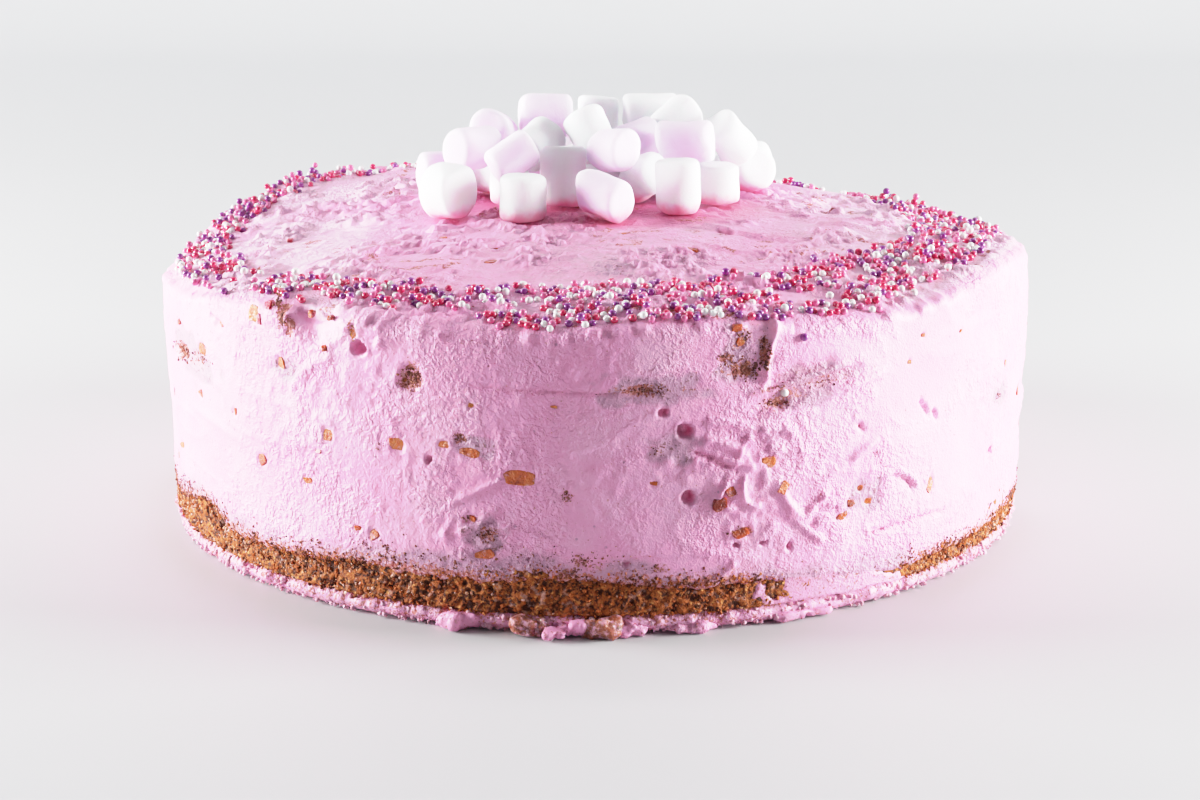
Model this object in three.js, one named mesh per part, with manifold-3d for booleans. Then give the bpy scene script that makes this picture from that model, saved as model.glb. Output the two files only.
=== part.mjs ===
// A round layer cake coated with pink cheese cream, with sugar pearls along its rim
// and a heap of small marshmallows in the middle of its top.
// Millimetres, +Z up. The cake stands on z = 0 with its middle on the Z axis,
// and the side that is seen first faces -Y.
import * as THREE from 'three';
import { mergeVertices } from 'three/addons/utils/BufferGeometryUtils.js';
import Module from 'manifold-3d';

const wasm = await Module();
wasm.setup();

// Driving dimensions of the cake
const BOTTOM_RADIUS = 120.8;
const TOP_RADIUS = 121.4;
const MEAN_RIM_HEIGHT = 76;
const DOME_HEIGHT = 84.2;
const DOME_POWER = 2.1;
const RIM_ROUNDING = 3.2;
const GAP = 0.3;

// Height of the rim round the cake, as [degrees from +X, mm]
const RIM_HEIGHTS = [
  [-166, 70.3], [-149, 73], [-128, 77.8], [-101, 75.6], [-83, 78.6], [-66, 76.8], [-50, 75.8], [-36, 79.2],
  [-21, 80.6], [7, 73], [34, 71], [61, 72.6], [90, 76], [119, 79], [139, 78.8], [155, 75], [179, 68.6],
];

// The foot: a thin bed of cream under the base sponge, drawn in at the bottom, with a lip above
const FOOT_RADIUS = 117;
const LIP_HEIGHT = 3.2;
const LIP_RADIUS = 120.4;

// The base sponge, bare in a band above the lip
const BASE = { bottom: 4.2, top: 19.5, radius: 120.3, innerRadius: 118.6, bareRadius: 118.9 };
const BARE_TOP = 13.2;
// Stretches where cream covers the band, as [from, to] in degrees
const COVERED = [[-71, -47], [-12, 6], [64, 80], [148, 168]];

// The upper sponge, seen only where the coat is scraped thin
const UPPER = { bottom: 52.5, top: 66.5, radius: 119.7, innerRadius: 117.5 };
const SCRAPES = [
  { at: -151, height: 55, wide: 15, high: 5.5 },
  { at: -111.5, height: 63.2, wide: 6, high: 6 },
  { at: -84.5, height: 62.3, wide: 16, high: 3.8 },
  { at: -71.5, height: 64, wide: 11, high: 8 },
  { at: -63, height: 59.5, wide: 14, high: 4.4 },
  { at: 12, height: 60, wide: 12, high: 4 },
  { at: 74, height: 57, wide: 9, high: 4.5 },
  { at: 131, height: 62, wide: 13, high: 3.6 },
];
const SCRAPE_DEPTH = 2.3;

// Chips out of the rim: where, how wide and deep
const CHIPS = [
  { at: -126, wide: 9, deep: 3.6 },
  { at: -7, wide: 7, deep: 2.2 },
  { at: 98, wide: 10, deep: 2.6 },
];

// Caramel pieces in the coat, and lumps squeezed out under the cake
const CARAMELS = [
  { at: -106, height: 32.5, wide: 7.2, high: 4 },
  { at: -113.5, height: 42, wide: 5, high: 4.5 },
  { at: -129, height: 41, wide: 4, high: 3 },
  { at: -147.5, height: 47, wide: 4, high: 3.4 },
  { at: -69.8, height: 30.5, wide: 5.5, high: 4.5 },
  { at: -92, height: 24, wide: 4.5, high: 3.5 },
  { at: -49, height: 29, wide: 5, high: 3.5 },
  { at: -38.5, height: 28, wide: 3.6, high: 4.8 },
  { at: -18, height: 41, wide: 5, high: 4 },
  { at: 24, height: 33, wide: 6, high: 4 },
  { at: 55, height: 44, wide: 5, high: 4.5 },
  { at: 93, height: 31, wide: 6.5, high: 4 },
  { at: 118, height: 45, wide: 4.5, high: 4 },
  { at: 158, height: 36, wide: 6, high: 4.5 },
];
const CARAMEL_PROUD = 1.1;
const FOOT_LUMPS = [
  { at: -106.6, out: 119.4, wide: 11, high: 4.4, deep: 5 },
  { at: -98.2, out: 121, wide: 7, high: 4, deep: 5 },
  { at: -94.4, out: 123.8, wide: 5.6, high: 3.2, deep: 5 },
  { at: -90, out: 120.4, wide: 11, high: 5.4, deep: 6 },
  { at: 40, out: 119.6, wide: 10, high: 4.2, deep: 5 },
  { at: 132, out: 120, wide: 8, high: 4.4, deep: 5 },
];

// Sugar pearls: the largest of them, evenly spread in the ring where they lie
const PEARLS = { count: 118, smallest: 1.1, largest: 1.35, apart: 5, sunk: 0.45, seed: 7 };
const PEARL_RING = { innerRadius: 90, outerRadius: 117.5, backInnerRadius: 104 };

// Marshmallows: the middle of each before the heap settles (x, y, z), the way its axis points
// (turn from +X, lean above level, degrees), how thick and how long it is, and its colour
const WHITE = 'white';
const LILAC = 'lilac';
const MARSHMALLOWS = [
  // first layer, front to back
  { x: -41, y: -13, z: 91, turn: -45, lean: 6, across: 16, long: 13, tint: WHITE },
  { x: -20, y: -19, z: 90, turn: 0, lean: 90, across: 13.4, long: 12.2, tint: WHITE },
  { x: 2, y: -20, z: 90, turn: -42, lean: -8, across: 12.8, long: 14.5, tint: LILAC },
  { x: 23, y: -11, z: 91, turn: 0, lean: 90, across: 13.6, long: 15, tint: WHITE },
  { x: -44, y: 20, z: 90, turn: 20, lean: 0, across: 13.6, long: 13, tint: LILAC },
  { x: -26, y: 8, z: 88.8, turn: 0, lean: 90, across: 12.4, long: 10, tint: WHITE },
  { x: -9, y: -3, z: 92, turn: 70, lean: 84, across: 13.4, long: 17, tint: WHITE },
  { x: 13, y: 2, z: 90.5, turn: -60, lean: 25, across: 13, long: 13, tint: WHITE },
  { x: 34.5, y: 6.5, z: 90, turn: 0, lean: 90, across: 13.2, long: 10.8, tint: WHITE },
  { x: 41, y: 29, z: 89, turn: -70, lean: 10, across: 13.6, long: 13, tint: WHITE },
  { x: 44, y: 45, z: 89, turn: 30, lean: 0, across: 13.6, long: 13.5, tint: WHITE },
  { x: -30, y: 22, z: 90, turn: 130, lean: 0, across: 12.4, long: 13, tint: WHITE },
  { x: 2, y: 21, z: 89.6, turn: 0, lean: 90, across: 12.6, long: 10.4, tint: WHITE },
  { x: 20, y: 18, z: 90, turn: 95, lean: 0, across: 12.4, long: 13, tint: LILAC },
  { x: 27, y: 32, z: 90, turn: 40, lean: 0, across: 12.6, long: 13, tint: WHITE },
  { x: 13, y: 34, z: 90, turn: 40, lean: 0, across: 12.6, long: 13, tint: WHITE },
  { x: 0, y: 38, z: 90.5, turn: 60, lean: 90, across: 13, long: 12.2, tint: WHITE },
  { x: -17, y: 33, z: 90, turn: 100, lean: 0, across: 12.8, long: 13.4, tint: LILAC },
  { x: 30, y: 47, z: 89, turn: 150, lean: 90, across: 13.4, long: 12.6, tint: LILAC },
  { x: -33, y: 37, z: 89, turn: 60, lean: 90, across: 13.4, long: 12.6, tint: WHITE },
  { x: -8, y: 53, z: 89, turn: 165, lean: 0, across: 13.2, long: 14.5, tint: LILAC },
  { x: 13, y: 50, z: 89, turn: 110, lean: 0, across: 13, long: 13.4, tint: WHITE },
  // second layer
  { x: -32.5, y: 8, z: 97, turn: -130, lean: 4, across: 12.8, long: 14.5, tint: LILAC },
  { x: -20, y: -5, z: 98, turn: 22, lean: 28, across: 12, long: 13, tint: LILAC },
  { x: -15, y: 13, z: 99, turn: 60, lean: 25, across: 13, long: 12.6, tint: WHITE },
  { x: 2, y: -3.5, z: 98.5, turn: -48, lean: 5, across: 12.6, long: 12.8, tint: LILAC },
  { x: 25, y: 9, z: 100.5, turn: -10, lean: 5, across: 12, long: 16, tint: LILAC },
  { x: 11, y: 18, z: 98.5, turn: 40, lean: 10, across: 12.4, long: 12.6, tint: LILAC },
  { x: 39, y: 22, z: 99, turn: -150, lean: 45, across: 13.4, long: 13.6, tint: WHITE },
  { x: -10, y: 47, z: 96, turn: 10, lean: 0, across: 12.6, long: 13.4, tint: WHITE },
  // third layer
  { x: -26, y: 25, z: 98, turn: -105, lean: 15, across: 12.4, long: 12.4, tint: LILAC },
  { x: -0.5, y: 14, z: 101.5, turn: 130, lean: 50, across: 12.8, long: 14, tint: WHITE },
  { x: -19, y: 29.5, z: 104.4, turn: 8, lean: 0, across: 12.8, long: 15.5, tint: LILAC },
  { x: 2, y: 40, z: 104, turn: 70, lean: 80, across: 12.4, long: 12.6, tint: WHITE },
  { x: 15.5, y: 37, z: 105.5, turn: 10, lean: 3, across: 12.8, long: 16.5, tint: WHITE },
  { x: 22, y: 24, z: 104, turn: 30, lean: 30, across: 12.4, long: 13, tint: WHITE },
];
const MARSHMALLOW_ROUNDING = 0.3;
const MARSHMALLOW_SIDES = 10;
const SETTLED_GAP = 0.36;
const SETTLING = { rounds: 60, hold: 0.25, lastRounds: 400 };

const degrees = THREE.MathUtils.degToRad;
const lerp = THREE.MathUtils.lerp;

function smoothstep(low, high, value) {
  const t = THREE.MathUtils.clamp((value - low) / (high - low), 0, 1);
  return t * t * (3 - 2 * t);
}

// Shortest way round from one angle to another, in degrees
function turnBetween(a, b) {
  return ((a - b + 540) % 360 + 360) % 360 - 180;
}

// A smooth closed curve through [angle, value] points
function around(points, angle) {
  const n = points.length;
  const start = points[0][0];
  const along = ((angle - start) % 360 + 360) % 360;
  let i = n - 1;
  while (points[i][0] - start > along) i -= 1;
  const at = (k) => points[(k + n) % n][0] - start + 360 * Math.floor(k / n);
  const value = (k) => points[(k + n) % n][1];
  const slope = (k) => (value(k + 1) - value(k - 1)) / (at(k + 1) - at(k - 1));
  const span = at(i + 1) - at(i);
  const t = (along - at(i)) / span;
  const u = 1 - t;
  return value(i) * u * u * (1 + 2 * t) + value(i + 1) * t * t * (3 - 2 * t)
    + span * t * u * (slope(i) * u - slope(i + 1) * t);
}

// How much of the base band is bare at an angle: 1 bare, 0 covered
function bareness(angle) {
  let bare = 1;
  for (const [from, to] of COVERED) {
    const middle = (from + to) / 2;
    const half = (to - from) / 2;
    const off = Math.abs(turnBetween(angle, middle));
    bare = Math.min(bare, smoothstep(half - 3, half + 3, off));
  }
  return bare;
}

// Shallow waves that the spatula left in the side
function sideWaves(angle, z) {
  const a = degrees(angle);
  return 0.32 * Math.sin(5 * a + 0.05 * z + 0.4)
    + 0.2 * Math.sin(9 * a - 0.08 * z + 2.1)
    + 0.14 * Math.sin(16 * a + 0.13 * z + 4);
}

// Depth of the chips out of the rim at an angle
function chipDepth(angle) {
  let depth = 0;
  for (const chip of CHIPS) {
    const along = degrees(turnBetween(angle, chip.at)) * TOP_RADIUS;
    depth += chip.deep * Math.exp(-((along / chip.wide) ** 2));
  }
  return depth;
}

function rimHeight(angle) {
  return around(RIM_HEIGHTS, angle) - 0.6 * chipDepth(angle);
}

function wallRadius(angle, z) {
  return lerp(BOTTOM_RADIUS, TOP_RADIUS, z / MEAN_RIM_HEIGHT) + sideWaves(angle, z);
}

// The top is a low dome. Its back edge falls away faster than the rest.
function topHeight(angle, radius) {
  const out = radius / TOP_RADIUS;
  const back = smoothstep(38, 55, angle) * (1 - smoothstep(125, 145, angle));
  const fall = 2.5 * back * smoothstep(0.8, 1, out);
  const chips = 0.6 * chipDepth(angle) * smoothstep(0.9, 1, out);
  const a = degrees(angle);
  const swirl = 0.4 * Math.sin(3 * a + 0.11 * radius) + 0.25 * Math.sin(5 * a - 0.16 * radius + 1.7);
  return lerp(DOME_HEIGHT, around(RIM_HEIGHTS, angle), out ** DOME_POWER) - fall - chips
    + swirl * smoothstep(0.1, 0.35, out) * (1 - smoothstep(0.88, 1, out));
}

function place(angle, radius, z) {
  const a = degrees(angle);
  return new THREE.Vector3(radius * Math.cos(a), radius * Math.sin(a), z);
}

// A closed body from rings of points, listed upwards, with a middle point for each end
function ringBody(bottomMiddle, rings, topMiddle) {
  const columns = rings[0].length;
  const points = [bottomMiddle, ...rings.flat(), topMiddle];
  const faces = [];
  const id = (row, column) => 1 + row * columns + (column % columns);
  const last = rings.length - 1;
  for (let c = 0; c < columns; c += 1) {
    faces.push(0, id(0, c + 1), id(0, c));
    faces.push(points.length - 1, id(last, c), id(last, c + 1));
    for (let r = 0; r < last; r += 1) {
      faces.push(id(r, c), id(r, c + 1), id(r + 1, c + 1));
      faces.push(id(r, c), id(r + 1, c + 1), id(r + 1, c));
    }
  }
  const geometry = new THREE.BufferGeometry().setFromPoints(points);
  geometry.setIndex(faces);
  return geometry;
}

function ring(columns, pointAt) {
  return Array.from({ length: columns }, (_, i) => pointAt(-180 + (360 * i) / columns));
}

// The outer form of the cake: foot, lip, side, rounded rim and domed top
function coatForm() {
  const columns = 64;
  const rings = [];
  const row = (pointAt) => rings.push(ring(columns, pointAt));
  const bandTop = (angle) => BARE_TOP + 0.9 * Math.sin(degrees(7 * angle)) + 0.6 * Math.sin(degrees(17 * angle));
  const band = (angle, z) => {
    const wall = wallRadius(angle, z);
    return place(angle, lerp(wall, BASE.bareRadius, bareness(angle)), z);
  };
  row((angle) => place(angle, FOOT_RADIUS + sideWaves(angle, 0), 0));
  row((angle) => place(angle, lerp(FOOT_RADIUS, LIP_RADIUS, 0.6), 0.45 * LIP_HEIGHT));
  row((angle) => place(angle, LIP_RADIUS + sideWaves(angle, 3), LIP_HEIGHT));
  row((angle) => place(angle, LIP_RADIUS + sideWaves(angle, 3), BASE.bottom + 0.3));
  row((angle) => band(angle, BASE.bottom + 1.2));
  row((angle) => band(angle, bandTop(angle) - 1));
  row((angle) => place(angle, wallRadius(angle, bandTop(angle)), bandTop(angle) + 0.8));
  const shoulder = (angle) => rimHeight(angle) - RIM_ROUNDING;
  for (const share of [0.12, 0.4, 0.7, 1]) {
    row((angle) => {
      const z = lerp(BARE_TOP, shoulder(angle), share);
      return place(angle, wallRadius(angle, z) - 0.5 * chipDepth(angle) * share ** 8, z);
    });
  }
  for (const turn of [35, 65]) {
    row((angle) => {
      const inward = RIM_ROUNDING * (1 - Math.cos(degrees(turn))) + 0.5 * chipDepth(angle);
      const z = shoulder(angle) + RIM_ROUNDING * Math.sin(degrees(turn));
      return place(angle, wallRadius(angle, z) - inward, z);
    });
  }
  for (const radius of [116.5, 107, 93, 72, 47, 22]) {
    row((angle) => place(angle, radius, topHeight(angle, radius)));
  }
  return ringBody(new THREE.Vector3(0, 0, 0), rings, new THREE.Vector3(0, 0, DOME_HEIGHT));
}

// A sponge layer: a disc with a slightly uneven edge, full near its lower or middle height
function spongeForm(layer, rows, spare) {
  const columns = 40;
  const edge = (angle) => 0.12 * Math.sin(degrees(11 * angle)) + 0.1 * Math.sin(degrees(23 * angle + 40));
  const rings = rows.map(([share, radius]) => ring(columns, (angle) => {
    const z = lerp(layer.bottom - spare, layer.top + spare, share);
    return place(angle, radius + edge(angle) + spare, z);
  }));
  const bottom = new THREE.Vector3(0, 0, layer.bottom - spare);
  const top = new THREE.Vector3(0, 0, layer.top + spare);
  return ringBody(bottom, rings, top);
}

const baseRows = [[0, BASE.radius - 0.8], [0.07, BASE.radius], [0.58, BASE.radius], [0.78, BASE.innerRadius],
  [1, BASE.innerRadius]];
const upperRows = [[0, UPPER.innerRadius], [0.14, UPPER.radius], [0.86, UPPER.radius], [1, UPPER.innerRadius]];

// Closed mesh to exact solid and back
function toSolid(geometry) {
  const bare = geometry.clone();
  bare.deleteAttribute('normal');
  bare.deleteAttribute('uv');
  const merged = mergeVertices(bare, 1e-4);
  return new wasm.Manifold(new wasm.Mesh({
    numProp: 3,
    vertProperties: new Float32Array(merged.attributes.position.array),
    triVerts: new Uint32Array(merged.index.array),
  }));
}

function toGeometry(solid) {
  const mesh = solid.getMesh();
  const geometry = new THREE.BufferGeometry();
  geometry.setAttribute('position', new THREE.BufferAttribute(mesh.vertProperties, 3));
  geometry.setIndex(new THREE.BufferAttribute(mesh.triVerts, 1));
  return geometry;
}

// Seeded draws between 0 and 1
function seededDraws(seed) {
  let state = seed;
  return () => {
    state = (state + 0x6d2b79f5) | 0;
    let t = Math.imul(state ^ (state >>> 15), 1 | state);
    t = (t + Math.imul(t ^ (t >>> 7), 61 | t)) ^ t;
    return ((t ^ (t >>> 14)) >>> 0) / 4294967296;
  };
}

// A lump with few faces, set on the wall: wide along it, high, and deep towards the middle
function lump(angle, radius, z, wide, high, deep, detail) {
  const geometry = new THREE.IcosahedronGeometry(0.5, detail);
  geometry.scale(deep, wide, high);
  geometry.rotateZ(degrees(angle));
  const middle = place(angle, radius, z);
  geometry.translate(middle.x, middle.y, middle.z);
  return toSolid(geometry);
}

function scrape(spot) {
  return lump(spot.at, wallRadius(spot.at, spot.height) + 1, spot.height, 1.25 * spot.wide,
    1.25 * spot.high, 2 * (SCRAPE_DEPTH + 1), 1);
}

function caramel(piece) {
  return lump(piece.at, wallRadius(piece.at, piece.height) + CARAMEL_PROUD - 1.5, piece.height,
    piece.wide, piece.high, 3, 0);
}

function footLump(piece) {
  return lump(piece.at, piece.out, piece.high / 2 + 0.1, piece.wide, piece.high, piece.deep, 1);
}

// How thickly the pearls lie at an angle: 1 thick, 0 none
function pearlCover(angle) {
  const a = degrees(angle);
  return THREE.MathUtils.clamp(0.75 + 0.3 * Math.sin(4 * a + 0.6) + 0.2 * Math.sin(9 * a + 2), 0.15, 1);
}

function pearlMiddles() {
  const draw = seededDraws(PEARLS.seed);
  const middles = [];
  while (middles.length < PEARLS.count) {
    const angle = -180 + 360 * draw();
    const back = smoothstep(38, 55, angle) * (1 - smoothstep(125, 145, angle));
    const inner = lerp(PEARL_RING.innerRadius, PEARL_RING.backInnerRadius, back);
    const wander = 3 * Math.sin(degrees(3 * angle)) + 2 * Math.sin(degrees(7 * angle + 50));
    const radius = lerp(inner + wander * (1 - back), PEARL_RING.outerRadius, draw() ** 0.8);
    const size = lerp(PEARLS.smallest, PEARLS.largest, draw());
    const kept = draw() < pearlCover(angle);
    const middle = place(angle, radius, topHeight(angle, radius) + PEARLS.sunk * size);
    const clear = middles.every((other) => other.middle.distanceTo(middle) > PEARLS.apart);
    if (kept && clear) middles.push({ middle, size });
  }
  return middles;
}

function pearl({ middle, size }) {
  const geometry = new THREE.IcosahedronGeometry(size, 0);
  geometry.translate(middle.x, middle.y, middle.z);
  return toSolid(geometry);
}

// Joins many solids in pairs, so that each join stays small
function joinAll(solids) {
  let left = solids;
  while (left.length > 1) {
    const next = [];
    for (let i = 0; i < left.length; i += 2) {
      next.push(i + 1 < left.length ? left[i].add(left[i + 1]) : left[i]);
    }
    left = next;
  }
  return left[0];
}

function largestPiece(solid) {
  const pieces = solid.decompose();
  return pieces.reduce((a, b) => (b.volume() > a.volume() ? b : a));
}

// The cream: coat, filling and foot in one, with the pearls, caramel and lumps that stick to it
function creamGeometry() {
  let cream = toSolid(coatForm());
  cream = cream.add(joinAll(FOOT_LUMPS.map(footLump)));
  cream = cream.add(joinAll(CARAMELS.map(caramel)));
  cream = cream.add(joinAll(pearlMiddles().map(pearl)));
  cream = cream.subtract(joinAll(SCRAPES.map(scrape)));
  cream = cream.subtract(toSolid(spongeForm(BASE, baseRows, GAP)));
  cream = cream.subtract(toSolid(spongeForm(UPPER, upperRows, GAP)));
  return toGeometry(largestPiece(cream));
}

// A marshmallow as laid: its axis, and points on its surface about its own middle
function asLaid(spot) {
  const lean = degrees(spot.lean);
  const turn = degrees(spot.turn);
  const axis = new THREE.Vector3(Math.cos(lean) * Math.cos(turn), Math.cos(lean) * Math.sin(turn), Math.sin(lean));
  const upright = new THREE.Quaternion().setFromUnitVectors(new THREE.Vector3(0, 0, 1), axis);
  const points = [];
  for (const [out, up] of [[0.001, 1], [0.4, 1], [0.72, 1], [0.92, 0.92], [1, 0.7], [1, 0.35], [1, 0]]) {
    for (let i = 0; i < 16; i += 1) {
      const a = (Math.PI * i) / 8;
      for (const side of [1, -1]) {
        const aside = out * spot.across / 2;
        const point = new THREE.Vector3(aside * Math.cos(a), aside * Math.sin(a), side * up * spot.long / 2);
        points.push(point.applyQuaternion(upright));
      }
    }
  }
  const start = new THREE.Vector3(spot.x, spot.y, spot.z);
  return { ...spot, axis, points, start, middle: start.clone() };
}

// Distance from a point to a marshmallow: a cylinder with rounded edges
function marshmallowDistance(piece, x, y, z) {
  const rounding = MARSHMALLOW_ROUNDING * piece.across / 2;
  const dx = x - piece.middle.x;
  const dy = y - piece.middle.y;
  const dz = z - piece.middle.z;
  const along = Math.abs(dx * piece.axis.x + dy * piece.axis.y + dz * piece.axis.z);
  const aside = Math.sqrt(Math.max(dx * dx + dy * dy + dz * dz - along * along, 0));
  const past = aside - piece.across / 2 + rounding;
  const over = along - piece.long / 2 + rounding;
  return Math.min(Math.max(past, over), 0) + Math.hypot(Math.max(past, 0), Math.max(over, 0)) - rounding;
}

// Smallest free space between two marshmallows, from the points of each to the other
function spaceBetween(a, b) {
  let free = Infinity;
  for (const { x, y, z } of a.points) {
    free = Math.min(free, marshmallowDistance(b, x + a.middle.x, y + a.middle.y, z + a.middle.z));
  }
  for (const { x, y, z } of b.points) {
    free = Math.min(free, marshmallowDistance(a, x + b.middle.x, y + b.middle.y, z + b.middle.z));
  }
  return free;
}

// Free space between a marshmallow and the top of the cake
function spaceBelow(piece) {
  let free = Infinity;
  for (const point of piece.points) {
    const x = point.x + piece.middle.x;
    const y = point.y + piece.middle.y;
    const angle = THREE.MathUtils.radToDeg(Math.atan2(y, x));
    free = Math.min(free, point.z + piece.middle.z - topHeight(angle, Math.hypot(x, y)));
  }
  return free;
}

// Moves apart every two marshmallows that are closer than the gap, and lifts those in the cream.
// Gives the largest move.
function makeRoom(pieces) {
  let largest = 0;
  for (let i = 0; i < pieces.length; i += 1) {
    for (let j = i + 1; j < pieces.length; j += 1) {
      const a = pieces[i];
      const b = pieces[j];
      const away = a.middle.clone().sub(b.middle);
      if (away.length() < (Math.hypot(a.across, a.long) + Math.hypot(b.across, b.long)) / 2) {
        const short = SETTLED_GAP - spaceBetween(a, b);
        if (short > 0) {
          away.setLength(short / 2);
          a.middle.add(away);
          b.middle.sub(away);
          largest = Math.max(largest, short);
        }
      }
    }
  }
  for (const piece of pieces) {
    const short = SETTLED_GAP - spaceBelow(piece);
    if (short > 0) piece.middle.z += short;
    largest = Math.max(largest, short);
  }
  return largest;
}

// Lets the heap settle: every piece is drawn to its place, then room is made, again and again
function settledHeap() {
  const pieces = MARSHMALLOWS.map(asLaid);
  for (let round = 0; round < SETTLING.rounds; round += 1) {
    for (const piece of pieces) piece.middle.lerp(piece.start, SETTLING.hold);
    makeRoom(pieces);
  }
  for (let round = 0; round < SETTLING.lastRounds; round += 1) {
    if (makeRoom(pieces) < 0.002) break;
  }
  return pieces;
}

function marshmallowGeometry(piece) {
  const r = piece.across / 2;
  const half = piece.long / 2;
  const edge = MARSHMALLOW_ROUNDING * r;
  const profile = [[0, -half], [r - edge, -half], [r, -half + edge], [r, half - edge], [r - edge, half], [0, half]];
  const geometry = new THREE.LatheGeometry(profile.map(([x, y]) => new THREE.Vector2(x, y)), MARSHMALLOW_SIDES);
  geometry.rotateX(Math.PI / 2);
  geometry.deleteAttribute('normal');
  geometry.deleteAttribute('uv');
  return mergeVertices(geometry, 1e-4);
}

function finish(name, color, roughness) {
  return new THREE.MeshStandardMaterial({ name, color, roughness, metalness: 0 });
}

const cake = new THREE.Group();

const cream = new THREE.Mesh(creamGeometry(), finish('cream', 0xf3b9dc, 0.6));
cream.name = 'cream';
cake.add(cream);

const baseSponge = new THREE.Mesh(spongeForm(BASE, baseRows, 0), finish('sponge', 0xa8642f, 0.9));
baseSponge.name = 'sponge_base';
cake.add(baseSponge);

const upperSponge = new THREE.Mesh(spongeForm(UPPER, upperRows, 0), finish('sponge', 0xa8642f, 0.9));
upperSponge.name = 'sponge_upper';
cake.add(upperSponge);

const heap = new THREE.Group();
settledHeap().forEach((piece, i) => {
  const color = piece.tint === WHITE ? 0xfaf8fa : 0xe9cdec;
  const mesh = new THREE.Mesh(marshmallowGeometry(piece), finish(`marshmallow ${piece.tint}`, color, 0.75));
  mesh.name = `marshmallow_${piece.tint}_${String(i + 1).padStart(2, '0')}`;
  mesh.position.copy(piece.middle);
  mesh.quaternion.setFromUnitVectors(new THREE.Vector3(0, 0, 1), piece.axis);
  heap.add(mesh);
});
cake.add(heap);

export default cake;
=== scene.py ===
"""A round layer cake in pink mascarpone cream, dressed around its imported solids.

The cake stands on z = 0 with its middle on the Z axis, and the side that is seen first faces -Y.
Places on its side are an angle from +X, in degrees, and a height. Lengths are in millimetres,
and MM turns them into Blender's metres when a mesh is made.
"""
import math
import bpy
import numpy as np
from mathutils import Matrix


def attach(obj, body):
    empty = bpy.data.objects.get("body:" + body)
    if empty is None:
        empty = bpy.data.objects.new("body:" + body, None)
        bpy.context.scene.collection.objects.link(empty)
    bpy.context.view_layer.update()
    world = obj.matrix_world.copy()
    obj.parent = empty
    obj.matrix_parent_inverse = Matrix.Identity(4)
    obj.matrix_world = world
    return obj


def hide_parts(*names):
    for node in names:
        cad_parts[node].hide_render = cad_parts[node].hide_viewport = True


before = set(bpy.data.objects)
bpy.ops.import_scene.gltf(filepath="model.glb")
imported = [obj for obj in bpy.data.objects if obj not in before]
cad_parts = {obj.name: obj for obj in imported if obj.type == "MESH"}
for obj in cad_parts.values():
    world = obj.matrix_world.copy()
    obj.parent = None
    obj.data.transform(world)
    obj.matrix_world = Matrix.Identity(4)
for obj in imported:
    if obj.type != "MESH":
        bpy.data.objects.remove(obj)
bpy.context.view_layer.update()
MM = 0.001

# The coat: soft pink mascarpone cream, spread over the stacked layers with a palette knife. It is
# thin or torn where the knife pressed too hard. One closed skin runs from the underside over the
# foot, the side and the rim, and a second one, a lid, is the top.
BOTTOM_RADIUS = 120.8
TOP_RADIUS = 121.4
MEAN_RIM_HEIGHT = 76
DOME_HEIGHT = 84.2
DOME_POWER = 2.1
RIM_ROUNDING = 3.2
FOOT_RADIUS = 117
LIP_RADIUS = 120.4
RECESS_RADIUS = 117.4
# Heights round the cake, as (angle, height): the rim, the top of the bare band, and the top of the
# veil of thin cream above it
RIM_HEIGHTS = [
    (-166, 70.3), (-149, 73), (-128, 77.8), (-101, 75.6), (-83, 78.6), (-66, 76.8), (-50, 75.8),
    (-36, 79.2), (-21, 80.6), (7, 73), (34, 71), (61, 72.6), (90, 76), (119, 79), (139, 78.8),
    (155, 75), (179, 68.6)]
BAND_TOPS = [
    (-178, 12), (-166, 10.5), (-157, 13), (-148, 17), (-142, 12.5), (-132, 12), (-119, 14),
    (-101, 13.3), (-95, 14.2), (-82, 12.6), (-70, 12.3), (-58, 10), (-49, 8.6), (-36, 8.9),
    (-23, 8.6), (0, 9), (20, 11), (45, 13.5), (80, 14.5), (110, 12), (135, 13.5), (160, 13)]
VEIL_TOPS = [
    (-175, 17), (-150, 21), (-132, 17), (-114, 21.5), (-96, 22.5), (-80, 18.5), (-68, 16.5),
    (-53, 15), (-38, 12), (-15, 13), (20, 18), (60, 21), (100, 18), (140, 20)]
# Where cream hides the bare band, from angle to angle, and chips in the rim: angle, width, depth
COVERED = [(-70, -48), (-12, 6), (64, 80), (150, 166)]
CHIPS = [(-126, 9, 3.6), (-7, 7, 2.2), (98, 10, 2.6)]


def lerp(low, high, share):
    return low + (high - low) * share


def smoothstep(low, high, value):
    t = np.clip((value - low) / (high - low), 0, 1)
    return t * t * (3 - 2 * t)


def bell(value, wide):
    """1 where the value is 0, and falling off softly on both sides."""
    return np.exp(-(value / wide) ** 2)


def turned(angle, start):
    """Shortest way round from one angle to another, in degrees."""
    return (angle - start + 180) % 360 - 180


def arc(angle, start):
    """Distance along the side from one angle to another, in millimetres."""
    return np.radians(turned(angle, start)) * TOP_RADIUS


def around(points, angle):
    """A smooth closed curve through (angle, value) points, read at each angle."""
    at, value = np.array(points, float).T
    span = np.diff(at, append=at[0] + 360)
    slope = (np.roll(value, -1) - np.roll(value, 1)) / (span + np.roll(span, 1))
    along = (angle - at[0]) % 360 + at[0]
    i = np.searchsorted(at, along, side="right") - 1
    j = (i + 1) % len(at)
    t = (along - at[i]) / span[i]
    u = 1 - t
    bend = span[i] * t * u * (slope[i] * u - slope[j] * t)
    return value[i] * u * u * (1 + 2 * t) + value[j] * t * t * (3 - 2 * t) + bend


def bareness(angle):
    """How bare the foot of the side is: 1 where the sponge shows, 0 where cream covers it."""
    bare = np.ones_like(angle)
    for start, end in COVERED:
        half = (end - start) / 2
        off = np.abs(turned(angle, (start + end) / 2))
        bare = np.minimum(bare, smoothstep(half - 4.5, half + 4.5, off))
    return bare


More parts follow.
